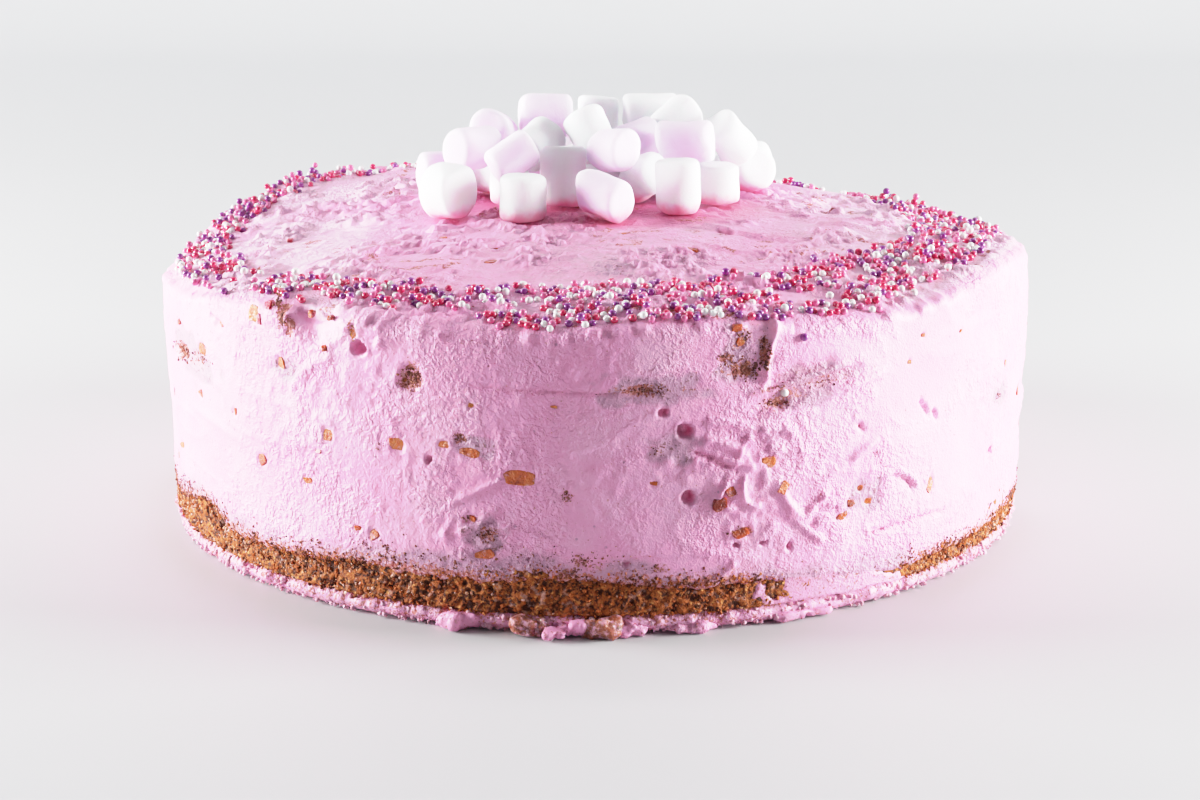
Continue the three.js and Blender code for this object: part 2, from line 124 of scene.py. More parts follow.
def side_waves(angle, z):
    a = np.radians(angle)
    return (0.32 * np.sin(5 * a + 0.05 * z + 0.4) + 0.2 * np.sin(9 * a - 0.08 * z + 2.1)
            + 0.14 * np.sin(16 * a + 0.13 * z + 4))


def chip_depth(angle):
    return sum(deep * bell(arc(angle, at), wide) for at, wide, deep in CHIPS)


def rim_height(angle):
    return around(RIM_HEIGHTS, angle) - 0.6 * chip_depth(angle)


def wall_radius(angle, z):
    return lerp(BOTTOM_RADIUS, TOP_RADIUS, z / MEAN_RIM_HEIGHT) + side_waves(angle, z)


def top_height(angle, radius):
    """The top is a low dome. Its back edge falls away faster than the rest."""
    out = radius / TOP_RADIUS
    back = smoothstep(38, 55, angle) * (1 - smoothstep(125, 145, angle))
    fall = 2.5 * back * smoothstep(0.8, 1, out) + 0.6 * chip_depth(angle) * smoothstep(0.9, 1, out)
    a = np.radians(angle)
    swirl = 0.4 * np.sin(3 * a + 0.11 * radius) + 0.25 * np.sin(5 * a - 0.16 * radius + 1.7)
    swirl = swirl * smoothstep(0.1, 0.35, out) * (1 - smoothstep(0.88, 1, out))
    return lerp(DOME_HEIGHT, around(RIM_HEIGHTS, angle), out ** DOME_POWER) - fall + swirl


def place(angle, radius, z):
    a = np.radians(angle)
    return np.stack(np.broadcast_arrays(radius * np.cos(a), radius * np.sin(a), z), axis=-1)


def on_axis(z):
    return place(np.zeros(1), 0, z)


def seeded(seed):
    return np.random.default_rng(seed)


def wobble(points, size, seed):
    """Smooth noise from about -1 to 1, with bumps about `size` mm wide."""
    draw = seeded(seed)
    table = draw.uniform(-1, 1, (32, 32, 32))
    turn, _ = np.linalg.qr(draw.normal(size=(3, 3)))
    at = points @ turn / size
    cell = np.floor(at).astype(int)
    part = at - cell
    part = part ** 3 * (part * (part * 6 - 15) + 10)
    total = 0
    for corner in np.ndindex(2, 2, 2):
        weight = np.prod(np.where(corner, part, 1 - part), axis=-1)
        x, y, z = np.moveaxis((cell + corner) % 32, -1, 0)
        total = total + weight * table[x, y, z]
    return total


def ridges(points, size, seed, sharpness):
    """Raised lines, from 0 to 1, round patches about `size` mm wide."""
    return (1 - np.abs(wobble(points, size, seed))) ** sharpness


# Strokes of the knife on the side, as (angle, height) to (angle, height), with how far the stroke
# bows, its half width and its height above the cream, below where it is less than 0
STROKES = [
    ((-104, 62.6), (-84, 61.4), 0, 0.5, -0.55), ((-100, 60.2), (-86, 60.6), 0, 2.2, 0.3),
    ((-107, 32.5), (-100.5, 40), 0, 0.5, 0.6), ((-109, 24), (-101, 33), -2, 0.8, 0.4),
    ((-72, 60), (-58.5, 65), 0, 0.7, 0.9), ((-72, 56.4), (-57, 64), 0, 2.2, -0.5),
    ((-70, 62.6), (-61, 66.4), 0, 1.8, -0.45), ((-71, 53.8), (-53, 61.6), 0, 0.9, 0.7),
    ((-78.6, 46.6), (-74.2, 42), 0, 0.6, -1), ((-77, 44), (-71, 41), 1, 0.8, 0.8),
    ((-75, 38.5), (-73.6, 31), -3, 0.9, 1.3), ((-72.6, 40), (-70.4, 31), -3, 0.7, 0.9),
    ((-96, 15.6), (-78, 13.2), 1.5, 0.7, 0.5), ((-78, 13.2), (-73.4, 18.4), -1.6, 0.7, 0.7),
    ((-95, 20.6), (-74, 20.2), 0.5, 0.6, 0.35), ((-104, 27), (-96, 25.5), 1, 0.6, 0.5),
    ((-68.4, 38), (-64.8, 27), -1.5, 1, 0.9), ((-67.4, 29), (-62, 19.5), 0, 0.8, 0.7),
    ((-64, 34), (-55, 44), 0, 0.7, 0.5), ((-52, 33.4), (-48, 28.2), 1.2, 0.5, -0.9),
    ((-51, 33.8), (-47.2, 28.6), 1.2, 0.6, 0.5), ((-56, 19.4), (-41, 19.6), 0.6, 0.35, -0.9),
    ((-47.4, 51.6), (-45.2, 46.4), 0, 0.4, -1), ((-44.6, 48), (-43.6, 45), 0, 0.4, -1),
    ((-58, 49.6), (-56.4, 46.8), 0, 0.4, -0.8), ((-129, 55), (-122, 66), 2, 1.1, 0.35),
    ((-152, 41), (-138, 38), 1, 1.4, 0.3), ((-142, 66.5), (-145.5, 69), 0, 0.5, -0.8),
    ((-68.7, 77.5), (-70.1, 62), -1, 0.9, 1.3), ((-77.6, 49.4), (-73, 46), 0.8, 0.7, 0.8),
    ((-77.4, 53.8), (-72.6, 52), 0.6, 0.8, 0.7), ((-70.8, 50.6), (-66.4, 49), 1, 0.8, 0.8),
    ((-75.8, 47.6), (-71.4, 49.6), -0.6, 0.5, 0.6), ((-73.4, 44.4), (-71.8, 49.8), 0.6, 0.6, 0.7),
    ((-64.8, 27), (-61.6, 33), 0.5, 0.7, 0.6), ((-58.6, 39.6), (-52.4, 45.4), 0.4, 0.6, 0.5),
    ((-20, 30), (-8, 36), 1.5, 0.9, 0.7), ((8, 40), (26, 48), 2, 1, 0.8),
    ((30, 22), (44, 27), -1.5, 0.9, 0.8), ((62, 36), (80, 30), 2, 1, 0.8),
    ((84, 48), (98, 56), 1, 0.9, 0.8), ((104, 26), (120, 33), 2, 1, 0.7),
    ((140, 44), (158, 50), -2, 1, 0.8), ((165, 24), (178, 30), 1, 0.9, 0.7)]
# Holes in the cream: angle, height, how wide, how high and how deep
PITS = [
    (-82.3, 56.9, 3.4, 2.6, 1.5), (-79.6, 51.9, 4.4, 3.8, 2.2), (-79.3, 35.3, 3.6, 4, 2.1),
    (-118.2, 69.4, 4.8, 3.2, 2.2), (-73.5, 21.9, 2.6, 1.3, 1.8), (-70.1, 22, 3.8, 1.2, 1.7),
    (-66.8, 20.4, 1.6, 2.4, 1.6), (-60.5, 28.4, 1.4, 1.4, 1), (-54.8, 40.4, 2, 1.6, 0.9),
    (-97.8, 19.4, 2, 1.6, 1.2), (-86.5, 18.6, 1.6, 1.4, 1), (-109.6, 43.2, 1.4, 1.8, 1),
    (-30, 30, 3, 2.4, 1.6), (44, 52, 4, 3, 1.8), (110, 40, 3.4, 3, 1.8), (163, 66, 4, 2.6, 1.8)]
# Where sponge crumb shows through: angle, height, how wide, how high and how much of it shows
CRUMB_SHOWS = [
    (-84.2, 62.4, 10, 3, 1), (-87.6, 62.8, 6, 1.8, 0.55), (-79.4, 61.8, 7, 2.4, 0.5),
    (-111.5, 63.2, 6.4, 6.4, 1), (-72.6, 66.4, 8.5, 4.6, 1), (-75.1, 69.2, 4.6, 2.8, 0.85),
    (-70.4, 70.4, 2.4, 9, 0.95), (-73.5, 72.6, 2.8, 3.6, 0.75), (-72, 75.8, 5, 2.4, 0.6),
    (-69.2, 56.9, 9, 2.8, 0.95), (-66.2, 58.5, 8, 2.6, 0.65), (-69.6, 60.6, 7, 2.8, 0.75),
    (-62.2, 61.4, 12, 2.4, 0.5), (-155.6, 54.2, 15, 5, 1), (-149.4, 55.6, 11, 3.4, 0.65),
    (-130.6, 79, 3, 7, 1.4), (-130.3, 75.4, 3, 7, 1.4), (-129, 71.6, 2.8, 5, 1.3),
    (-102.4, 25.5, 6, 3.8, 0.8), (-104.8, 29.2, 4, 2.2, 0.7), (-73, 25.4, 6, 2.6, 0.85),
    (-93.4, 35.9, 3.4, 3.4, 0.6), (-105.6, 49.4, 3.4, 3, 0.8), (-91.4, 19.6, 5, 3, 0.75),
    (-89.6, 17.6, 6, 2, 0.6), (-82.6, 17.4, 5, 2.2, 0.65), (-119.1, 73.4, 2.2, 4, 0.8),
    (12, 60, 13, 4.6, 1), (17, 58, 9, 3, 0.6), (74, 57, 10, 5, 1), (131, 62, 14, 4, 1),
    (137, 60.5, 9, 3, 0.6), (98, 68, 8, 8, 0.9), (40, 30, 7, 4, 0.8), (160, 42, 7, 4, 0.8),
    (60, 66, 5, 3, 0.8)]
# Where the knife wiped the cream thin: angle, height, how wide and how high
WIPED = [
    (-152, 55, 34, 12), (-83.5, 62.4, 32, 8), (-73, 69.5, 13.5, 16), (-66, 58, 20, 6),
    (-64.5, 62.6, 22, 6), (-80.8, 47.6, 13, 9), (-103, 24.6, 12, 9), (-104, 47.4, 11, 6),
    (12, 61, 28, 10), (74, 58, 22, 10), (131, 63, 30, 9), (98, 66, 16, 14), (-28, 44, 10, 6),
    (40, 30, 16, 9), (-130, 61, 9, 6), (-56, 30, 10, 8)]
# Patches left rough by the knife, patches wiped smooth, and the scoop under the rim with its depth
TORN = [
    (-71.5, 37, 20, 28), (-80, 46, 16, 14), (-68, 48, 22, 12), (-104, 24, 16, 12),
    (-117, 73, 16, 7), (20, 40, 26, 20), (95, 50, 24, 18), (150, 30, 22, 16), (-62, 26, 14, 12),
    (52, 62, 18, 10)]
SMOOTH = [
    (-152, 44, 66, 54), (-84, 17, 40, 8), (-46, 60, 44, 40), (-38, 34, 30, 30),
    (-124.7, 75, 18, 9), (-60, 69, 22, 7), (170, 50, 40, 30), (60, 30, 30, 24), (120, 60, 26, 20)]
SCOOP = (-124.9, 74.6, 18, 13.4, 1.4)
# Ridges and creases on the top, as x, y to x, y, with their half width and height
TOP_RIDGES = [
    (29, -27, 37, -34, 1.6, 1.3), (37, -34, 46, -38, 1.2, 0.9), (33, -33, 38, -35, 0.8, -1.6),
    (60, -24, 76, -30, 1.1, 1.2), (62, -40, 70, -34, 1.2, 1.3), (67, 7, 71, 5, 1.4, 2),
    (50, 6, 60, -3, 1, 0.9), (55, -4, 61, -8, 1.2, 1), (74, -28, 84, -24, 0.9, 0.8),
    (-52, -20, -40, -30, 0.9, 0.8), (-58, 4, -48, 8, 0.9, 0.8), (-50, -38, -38, -46, 1, 0.7),
    (-34, -58, -20, -60, 0.9, 0.7), (-92, 12, -86, 16, 1, -0.9), (-80, 22, -75, 24, 1, -0.9),
    (-64, 32, -58, 35, 1, -0.8), (-65, 61, -58, 64, 1, -0.8), (6, -66, 18, -72, 0.9, 0.7),
    (-14, -66, -4, -63, 1, 0.6), (48, 52, 62, 44, 1.2, 0.9), (10, 76, 26, 72, 1.2, 0.8),
    (-30, 74, -14, 80, 1.2, 0.8), (-70, -6, -62, -14, 1, 0.6), (30, -48, 44, -54, 0.9, 0.7),
    (86, 12, 92, 2, 1, 0.8)]

# What is stirred into the cream: bits of amber caramel and of red berry. Those of the far side are
# spread by a seeded rule, as thickly as in front.
CARAMELS = [  # angle, height, how wide, how high, lean in degrees, tone from 0 dark to 1 pale
    (-143.4, 67.2, 3.4, 2.8, 20, 0.45), (-135, 73, 3.4, 4.2, 0, 0.95),
    (-147.7, 58.5, 5.5, 3.2, -10, 0.65), (-148.6, 46.2, 2.2, 2.2, 30, 0.7),
    (-139.6, 45.7, 1.8, 2, 0, 0.8), (-130.7, 61.9, 2.4, 3.2, 20, 0.7),
    (-123.3, 46.1, 2.9, 5, -25, 0.75), (-134.5, 35, 3.2, 3.2, 30, 0.45),
    (-126.8, 32.6, 2.8, 1.5, 10, 0.6), (-113.5, 46.1, 4, 3, 5, 0.8),
    (-107.6, 47.6, 2.6, 2.2, 0, 0.6), (-104.5, 46.2, 5, 2.5, -15, 0.55),
    (-98.7, 40.8, 7, 4, 0, 0.5), (-119.3, 22.6, 1.7, 1.7, 10, 0.55), (-117, 22, 2.8, 2.8, 30, 0.5),
    (-104.6, 29.1, 2.8, 1.8, 0, 0.4), (-103, 19.9, 5, 2.4, 25, 0.6),
    (-104.2, 57.9, 1.4, 1.1, 0, 0.7), (-94.6, 58.4, 1.6, 0.9, 0, 0.75),
    (-83.3, 39.1, 2, 1.2, 0, 0.45), (-75.6, 33.2, 3.2, 3.2, 0, 0.02),
    (-74.3, 36.3, 2.4, 2.6, 30, 0.1), (-72.9, 25.2, 4.6, 1.9, 15, 0.25),
    (-69.8, 42.6, 3.2, 2.6, 0, 0.9), (-67.9, 36, 2.2, 3.4, -30, 0.55),
    (-73.6, 76.5, 2.4, 1.9, 0, 0.5), (-73.2, 73, 2, 2.4, 0, 0.5), (-59.6, 25.6, 3.6, 2, 40, 0.45),
    (-58.3, 28.6, 2, 1.8, 0, 0.35), (-55.5, 28.1, 2, 1.6, 0, 0.6), (-56.8, 32, 1.6, 1.4, 0, 0.5),
    (-44.8, 28.4, 1.9, 5.6, -32, 0.65), (-49.6, 62.2, 1.1, 1.1, 0, 1.2),
    (-47.4, 68.4, 0.9, 0.9, 0, 1.2), (-40, 66.8, 1, 1, 0, 1.2), (-123.3, 67.9, 1, 1.6, 0, 0.5),
    (-122.6, 75.6, 1.2, 1.3, 0, 0.2), (-125.8, 75.6, 1.2, 1.8, 10, 0.15),
    (-119, 73.2, 1.8, 3.4, 10, 0.3), (-26, 52, 1.6, 2, 0, 1.2), (-18, 41, 4.4, 3.4, 0, 0.6),
    (24, 33, 5.2, 3.4, 10, 0.5), (55, 44, 4.4, 3.8, 0, 0.65), (93, 31, 5.8, 3.4, -10, 0.5),
    (118, 45, 4, 3.4, 0, 0.6), (158, 36, 5.2, 3.8, 20, 0.5)]
BERRIES = [
    (-132.5, 76.2, 2.2, 2.2, 0, 0), (-133.9, 72.2, 1.3, 2.4, 0, 0), (-125.1, 40.9, 2.4, 1, 0, 0),
    (-46.1, 48.6, 1, 3, 25, 0.2), (-44.1, 46.2, 0.9, 2.2, 10, 0.2), (-57.2, 48.2, 0.9, 2, 0, 0.4),
    (-10, 55, 1.4, 2, 0, 0), (35, 60, 1.6, 1.6, 0, 0), (84, 44, 1.4, 2.2, 0, 0),
    (127, 36, 1.8, 1.4, 0, 0), (168, 58, 1.5, 1.5, 0, 0)]
TOP_CARAMELS = [  # x, y, how long, how wide, turn in degrees, tone
    (-52, -17, 3, 2, 20, 0.45), (-41, -37, 2.6, 1.8, 0, 0.15), (-29, -42, 6, 2.8, 10, 0.35),
    (-27, -54, 3, 1.2, 0, 0.1), (-27, -65, 3.2, 2.4, 40, 0.4), (8, -39, 3, 1.4, 0, 0.1),
    (24, -56, 6.5, 1.8, -20, 0.3), (104, -50, 3, 2.4, 0, 0.7), (-60, 12, 2.2, 1.5, 0, 0.3),
    (58, 30, 3, 2, 30, 0.5), (20, 70, 4, 2, 60, 0.4), (-34, 66, 3, 2, 0, 0.5),
    (66, -2, 2, 1.2, 0, 0.3)]
# Bits of the hidden side: how many, from angle to angle, from height to height, and how far apart
HIDDEN_BITS = 46
HIDDEN_ARC = (-6, 205)
HIDDEN_HEIGHTS = (22, 68)
BIT_SPACING = 5
MM_PER_DEGREE = 2.1


def hidden_bits():
    draw = seeded(72)
    spots = []
    while len(spots) < HIDDEN_BITS:
        angle, z = draw.uniform(*HIDDEN_ARC), draw.uniform(*HIDDEN_HEIGHTS)
        angle = angle if angle <= 180 else angle - 360
        if all(abs(turned(angle, s[0])) * MM_PER_DEGREE > BIT_SPACING or abs(z - s[1]) > BIT_SPACING
               for s in spots + CARAMELS):
            size = draw.uniform(1.2, 4), draw.uniform(1.1, 3.2)
            spots.append((angle, z, *size, draw.uniform(-40, 40), draw.uniform(0.1, 0.95)))
    return spots


CARAMELS += hidden_bits()
# The heap's foot, round which the cream is painted with shade and a pink glow: half its width and
# depth, and how far back its middle is
HEAP_SPREAD = (49, 33, 4)
# The two layers of sponge: height of underside and top, radius, and the fineness of the mesh
BASE_LAYER = {"bottom": 4.2, "top": 19.5, "radius": 120.0, "columns": 1400, "rows": 28}
UPPER_LAYER = {"bottom": 52.5, "top": 66.5, "radius": 119.6, "columns": 1000, "rows": 24}
# A spot on the side is worked out up to this many times its own size, and is FAR beyond that
SPOT_REACH = 2.2
FAR = 3.0


def spot_reach(angle, z, spot, points, ragged):
    """Distance from the middle of an oval spot on the side, 1 at its ragged edge, or FAR."""
    along = arc(angle, spot[0]) / (spot[2] / 2)
    up = (z - spot[1]) / (spot[3] / 2)
    near = np.maximum(np.abs(along), np.abs(up)) < SPOT_REACH
    reach = np.full_like(angle, FAR)
    if near.any():
        reach[near] = np.hypot(along[near], up[near]) + ragged * wobble(points[near], 3, 31)
    return reach


def spot_shape(angle, z, spot, points, ragged, soft=0.14):
    """1 inside an oval spot on the side and 0 outside it, with a ragged and soft edge."""
    return 1 - smoothstep(1 - soft, 1 + soft, spot_reach(angle, z, spot, points, ragged))


def stroke_shape(across_start, up_start, across_end, up_end, bow, half_width, across, up):
    """Height of a knife stroke, from 0 to 1, at points given by how far across and up they are."""
    length = math.hypot(across_end - across_start, up_end - up_start)
    tx, ty = (across_end - across_start) / length, (up_end - up_start) / length
    share = ((across - across_start) * tx + (up - up_start) * ty) / length
    aside = (across - across_start) * -ty + (up - up_start) * tx - bow * 4 * share * (1 - share)
    ends = smoothstep(-0.06, 0.12, share) * (1 - smoothstep(0.85, 1.05, share))
    return bell(aside, half_width) * ends


STROKE_GAIN = 1.35
PIT_GAIN = 1.2
# Heights between which a torn place shows the upper sponge, with a soft edge below and above
LAYER_SHOWS = (51.5, 53, 66, 67.5)


def side_relief(angle, z, points):
    """How far the side stands proud of its plain form, and the marks that the finish reads."""
    def covered(spots, ragged, soft, share=lambda spot: 1):
        covers = [share(s) * spot_shape(angle, z, s, points, ragged, soft) for s in spots]
        return np.max(covers, axis=0)

    torn = covered(TORN, 0.5, 0.4)
    smooth = covered(SMOOTH, 0.35, 0.35)
    thin_and_shade = covered(WIPED, 0.5, 0.5)
    crumb = covered(CRUMB_SHOWS, 0.6, 0.5, lambda spot: 0.8 * spot[4])
    deep = np.zeros_like(angle)
    band_top = around(BAND_TOPS, angle)
    fringe = (1 - smoothstep(band_top - 1, band_top + 6.5, z)) * lerp(0.12, 0.78, bareness(angle))
    crumb = np.maximum(crumb, fringe)
    torn = np.maximum(torn, 0.35 * smoothstep(0.3, 0.7, wobble(points, 27, 16)))
    veil_top = around(VEIL_TOPS, angle) + 2.5 * wobble(points, 9, 17)
    thin_and_shade = np.maximum(thin_and_shade, 0.95 * (1 - smoothstep(veil_top - 6, veil_top + 2, z)))
    level = points * (1, 1, 3.4)
    knife = 0.24 * wobble(level, 44, 11) + 0.08 * wobble(points * (1, 1, 2.4), 17, 12)
    edges = 0.34 * ridges(level, 46, 15, 20)
    stippled = smoothstep(-0.45, 0.3, wobble(points, 15, 35))
    pebbles = 0.14 * wobble(points, 2.2, 13)
    pebbles = pebbles + 0.16 * smoothstep(-0.25, 0.35, wobble(points, 1.9, 14))
    pebbles = pebbles * lerp(0.3, 1, stippled)
    flaps = 0.3 * smoothstep(0.05, 0.16, wobble(points * (1, 1, 1.5), 3.8, 18))
    flaps = flaps + 0.3 * wobble(points, 2.0, 19)
    flaps = flaps + 0.4 * smoothstep(0.1, 0.24, wobble(points * (1, 1, 1.3), 2.4, 34))
    relief = knife + edges + pebbles * (1 - 0.85 * smooth)
    relief = relief + flaps * torn * (1 - smooth) - 0.3 * thin_and_shade
    for start, end, bow, half_width, height in STROKES:
        middle = start[0] + turned(end[0], start[0]) / 2
        across, far = arc(angle, middle), arc(end[0], middle)
        shape = stroke_shape(-far, start[1], far, end[1], bow, half_width, across, z)
        relief = relief + STROKE_GAIN * height * shape
        # Painted shade: creases, where a stroke lies below the cream, are coloured deep pink.
        deep = np.maximum(deep, max(-height, 0) * shape * 0.45)
    for spot in PITS:
        reach = spot_reach(angle, z, spot, points, 0.42)
        inside = 1 - smoothstep(0.62, 1.0, reach)
        relief = relief - PIT_GAIN * spot[4] * inside + 0.26 * bell(reach - 1.15, 0.14)
        # Painted shade and light: the pit is coloured deep pink for the shade inside it, most of all
        # on its right wall, for the light that falls there.
        lit_right_wall = smoothstep(-0.3, 0.9, turned(angle, spot[0]) * 4.2 / spot[2])
        deep = np.maximum(deep, inside * lerp(0.3, 1.1, lit_right_wall))
    for bit in CARAMELS + BERRIES:
        reach = spot_reach(angle, z, (bit[0], bit[1], bit[2] + 0.8, bit[3] + 0.8), points, 0.1)
        relief = relief - 0.35 * (1 - smoothstep(0.7, 1.0, reach)) + 0.1 * bell(reach - 1.25, 0.25)
    reach = spot_reach(angle, z, SCOOP, points, 0.12)
    inside = 1 - smoothstep(0.35, 1.0, reach)
    relief = lerp(relief, 0.15 * knife, smoothstep(0.1, 0.5, inside)) - SCOOP[4] * inside
    relief = relief + 0.5 * bell(reach - 1.06, 0.08) * (z < SCOOP[1])
    in_layer = smoothstep(*LAYER_SHOWS[:2], z) * (1 - smoothstep(*LAYER_SHOWS[2:], z))
    lumpy = 0.35 * wobble(points, 1.9, 32) + 0.25 * wobble(points, 3.4, 33)
    showing = np.maximum(relief - 0.3, -0.7) + lumpy
    to_sponge = UPPER_LAYER["radius"] + 0.1 - np.hypot(points[..., 0], points[..., 1])
    to_sponge = np.maximum(to_sponge, -0.8) + lumpy
    relief = lerp(relief, lerp(showing, to_sponge, in_layer), smoothstep(0.3, 0.8, crumb - fringe))
    return relief, np.stack([thin_and_shade, deep, smooth, crumb], axis=-1)


# The knife's last way over the top: points in its own directions, narrow across it
KNIFE_WAY = np.array([[0.94, 0.34, 0], [-0.34, 0.94, 0], [0, 0, 1]]) * (1, 5, 1)


def top_relief(angle, radius, points):
    """How far the top stands above its plain form, and the marks that the finish reads."""
    a = np.radians(angle)
    x_of, y_of = points[..., 0], points[..., 1]
    ringed = np.stack(np.broadcast_arrays(np.cos(a) * 90, np.sin(a) * 90, radius * 4.5), axis=-1)
    straight = points @ KNIFE_WAY
    strokes = 0.22 * wobble(ringed, 34, 21) + 0.16 * wobble(straight, 38, 22)
    edges = 0.6 * ridges(ringed, 42, 23, 18) + 0.7 * ridges(straight, 50, 24, 20)
    patchy = smoothstep(-0.3, 0.4, wobble(points, 22, 25))
    lumps = 0.35 * ridges(points, 5.5, 26, 4) * patchy + 0.16 * wobble(points, 2.4, 27)
    torn = smoothstep(-0.12, 0.3, wobble(points, 13, 35))
    flaps = 0.75 * smoothstep(0.12, 0.2, wobble(points * (1, 1.4, 1), 4.0, 28))
    flaps = (flaps + 0.9 * smoothstep(0.16, 0.3, wobble(points * (1, 1.3, 1), 2.5, 36))) * torn
    relief = strokes + edges * patchy + lumps + flaps
    deep = np.zeros_like(relief)
    crumb = 0.62 * smoothstep(0.34, 0.46, wobble(points * (1, 1.7, 1), 3.4, 37))
    crumb = crumb * smoothstep(0, 0.3, wobble(points, 19, 38))
    for x_start, y_start, x_end, y_end, half_width, height in TOP_RIDGES:
        shape = stroke_shape(x_start, y_start, x_end, y_end, 0, half_width, x_of, y_of)
        relief = relief + height * shape
        # Painted shade: creases in the top, where a ridge lies below 0, are coloured deep pink.
        deep = np.maximum(deep, max(-height, 0) * shape * 0.4)
    for x, y, long, wide, turn, _ in TOP_CARAMELS:
        t = math.radians(turn)
        along = ((x_of - x) * math.cos(t) + (y_of - y) * math.sin(t)) / (long / 2 + 0.5)
        aside = ((y_of - y) * math.cos(t) - (x_of - x) * math.sin(t)) / (wide / 2 + 0.5)
        reach = np.hypot(along, aside)
        relief = relief - 0.6 * (1 - smoothstep(0.7, 1.05, reach)) + 0.3 * bell(reach - 1.35, 0.3)
    # Painted shade and light: the top is coloured darker in the middle and paler towards the flanks,
    # where the side lights fall and the mark goes below 0. Noise patches of wiped cream add to it.
    thin_and_shade = 0.25 * smoothstep(0.2, 0.6, wobble(points, 15, 29)) + 0.98 * bell(x_of, 50) - 0.42
    # Painted shade and glow: the cream round the foot of the marshmallow heap is coloured deep pink,
    # for its shadow and the pink light bounced there.
    under_heap = np.hypot(x_of / HEAP_SPREAD[0], (y_of - HEAP_SPREAD[2]) / HEAP_SPREAD[1])
    deep = np.maximum(deep, 0.62 * (1 - smoothstep(0.84, 1.2, under_heap)))
    return relief, np.stack([thin_and_shade, deep, np.full_like(deep, 0.2), crumb], axis=-1)


COAT_MARKS = ("thin_and_shade", "deep", "smooth", "crumb")
COAT_COLUMNS = 872
WALL_ROWS = 80
RIM_TURNS = [15, 35, 55, 72]
# The side's skin and the top's lid overlap under the pearls, each dipping under the other
SEAM_RADIUS = 110.5
SEAM_DIP = 0.15
UNDER_LID = 66
LID_BOTTOM = 68
# Rings of the lid: outer and inner radius, how many, and which share of the columns they keep
LID_STEPS = [(112.5, 56, 62, 1), (55.1, 28, 31, 2), (27.1, 14, 14, 4), (13, 3, 9, 8)]
FRONT = -88


def coat_angles(columns):
    """Angles of the coat's columns, closest together in front."""
    fine = np.linspace(-180, 180, 7201)
    closeness = 1.25 + 1.65 * (1 - smoothstep(45, 95, np.abs(turned(fine, FRONT))))
    steps = np.concatenate([[0], np.cumsum((closeness[1:] + closeness[:-1]) / 2)])
    return np.interp(np.linspace(0, steps[-1], columns, endpoint=False), steps, fine)


LIP_PROFILE = [  # radius, height
    (FOOT_RADIUS, 0), (118.3, 0.5), (119.5, 1.2), (120.3, 2), (LIP_RADIUS + 0.3, 2.8),
    (LIP_RADIUS, 3.8), (119.5, 4.8)]
BAND_ROWS = (0.08, 0.2, 0.34, 0.48, 0.62, 0.76, 0.88)


def foot_rings(angle):
    """Rows of the coat from the underside to just above the bare band: radius, height and crumb."""
    bare = bareness(angle)
    at_lip = place(angle, LIP_RADIUS, 8)
    ragged = wobble(at_lip, 3.5, 41) + 0.8 * wobble(at_lip, 1.9, 42) + wobble(at_lip, 9, 47)
    band_top = around(BAND_TOPS, angle) - 0.6 + 0.9 * ragged
    crumbly = 0.6 * wobble(at_lip, 2.4, 43) + 0.6 * wobble(at_lip, 5.5, 44)
    rows = [(np.full_like(angle, FOOT_RADIUS - 8), 0 * angle, 0.1)]
    for radius, z in LIP_PROFILE:
        share = min(z / 1.5, 1)
        low = np.maximum(z + share * 0.5 * crumbly, 0)
        out = radius + share * crumbly + 0.5 * side_waves(angle, 3)
        rows.append((out, low, 0.3 + 0.05 * z * bare))
    for up in BAND_ROWS:
        height = lerp(5 + 0.5 * crumbly, band_top - 0.4, up)
        at = place(angle, LIP_RADIUS, height)
        unevenness = wobble(at, 5, 48) + wobble(at, 2.2, 49)
        torn = smoothstep(0, 1, bare + 1.2 * bare * (1 - bare) * unevenness * 2)
        recess = lerp(119, RECESS_RADIUS, smoothstep(0, 0.25, up))
        out = lerp(wall_radius(angle, 5) - 0.4, recess, torn)
        rows.append((out, height, lerp(0.22, 0.9, torn)))
    edge = wall_radius(angle, 12) - 0.5 + 0.5 * ragged
    out = lerp(lerp(wall_radius(angle, 9), RECESS_RADIUS, bare), edge, 0.5)
    rows.append((out, band_top - 0.1, lerp(0.3, 0.9, bare)))
    return rows, edge, band_top


def joined(rings, marks, lower, upper):
    """A closed skin through rings of points. A ring may have half the points of the last one."""
    rings, marks = rings + [lower, upper], marks + [marks[0][:1], marks[-1][:1]]
    starts = np.cumsum([0] + [len(ring) for ring in rings])
    faces = []
    for row in range(len(rings) - 3):
        low, first, second = len(rings[row]), starts[row], starts[row + 1]
        i = np.arange(len(rings[row + 1]))
        j = (i + 1) % len(i)
        if low == len(i):
            faces += list(zip(first + i, first + j, second + j, second + i))
        else:
            near, between, far = first + 2 * i, first + 2 * i + 1, first + (2 * i + 2) % low
            for corners in ((near, between, second + i), (between, second + j, second + i),
                            (between, far, second + j)):
                faces += list(zip(*corners))
    i, j = np.arange(len(rings[0])), starts[-4] + np.arange(len(rings[-3]))
    faces += [(b, a, starts[-3]) for a, b in zip(i, np.roll(i, -1))]
    faces += [(a, b, starts[-2]) for a, b in zip(j, np.roll(j, -1))]
    return np.concatenate(rings), faces, np.concatenate(marks)


def top_ring(angle, radius, sunk):
    plain = place(angle, radius, top_height(angle, radius))
    relief, marks = top_relief(angle, radius, plain)
    plain[:, 2] += relief - sunk
    return plain, marks


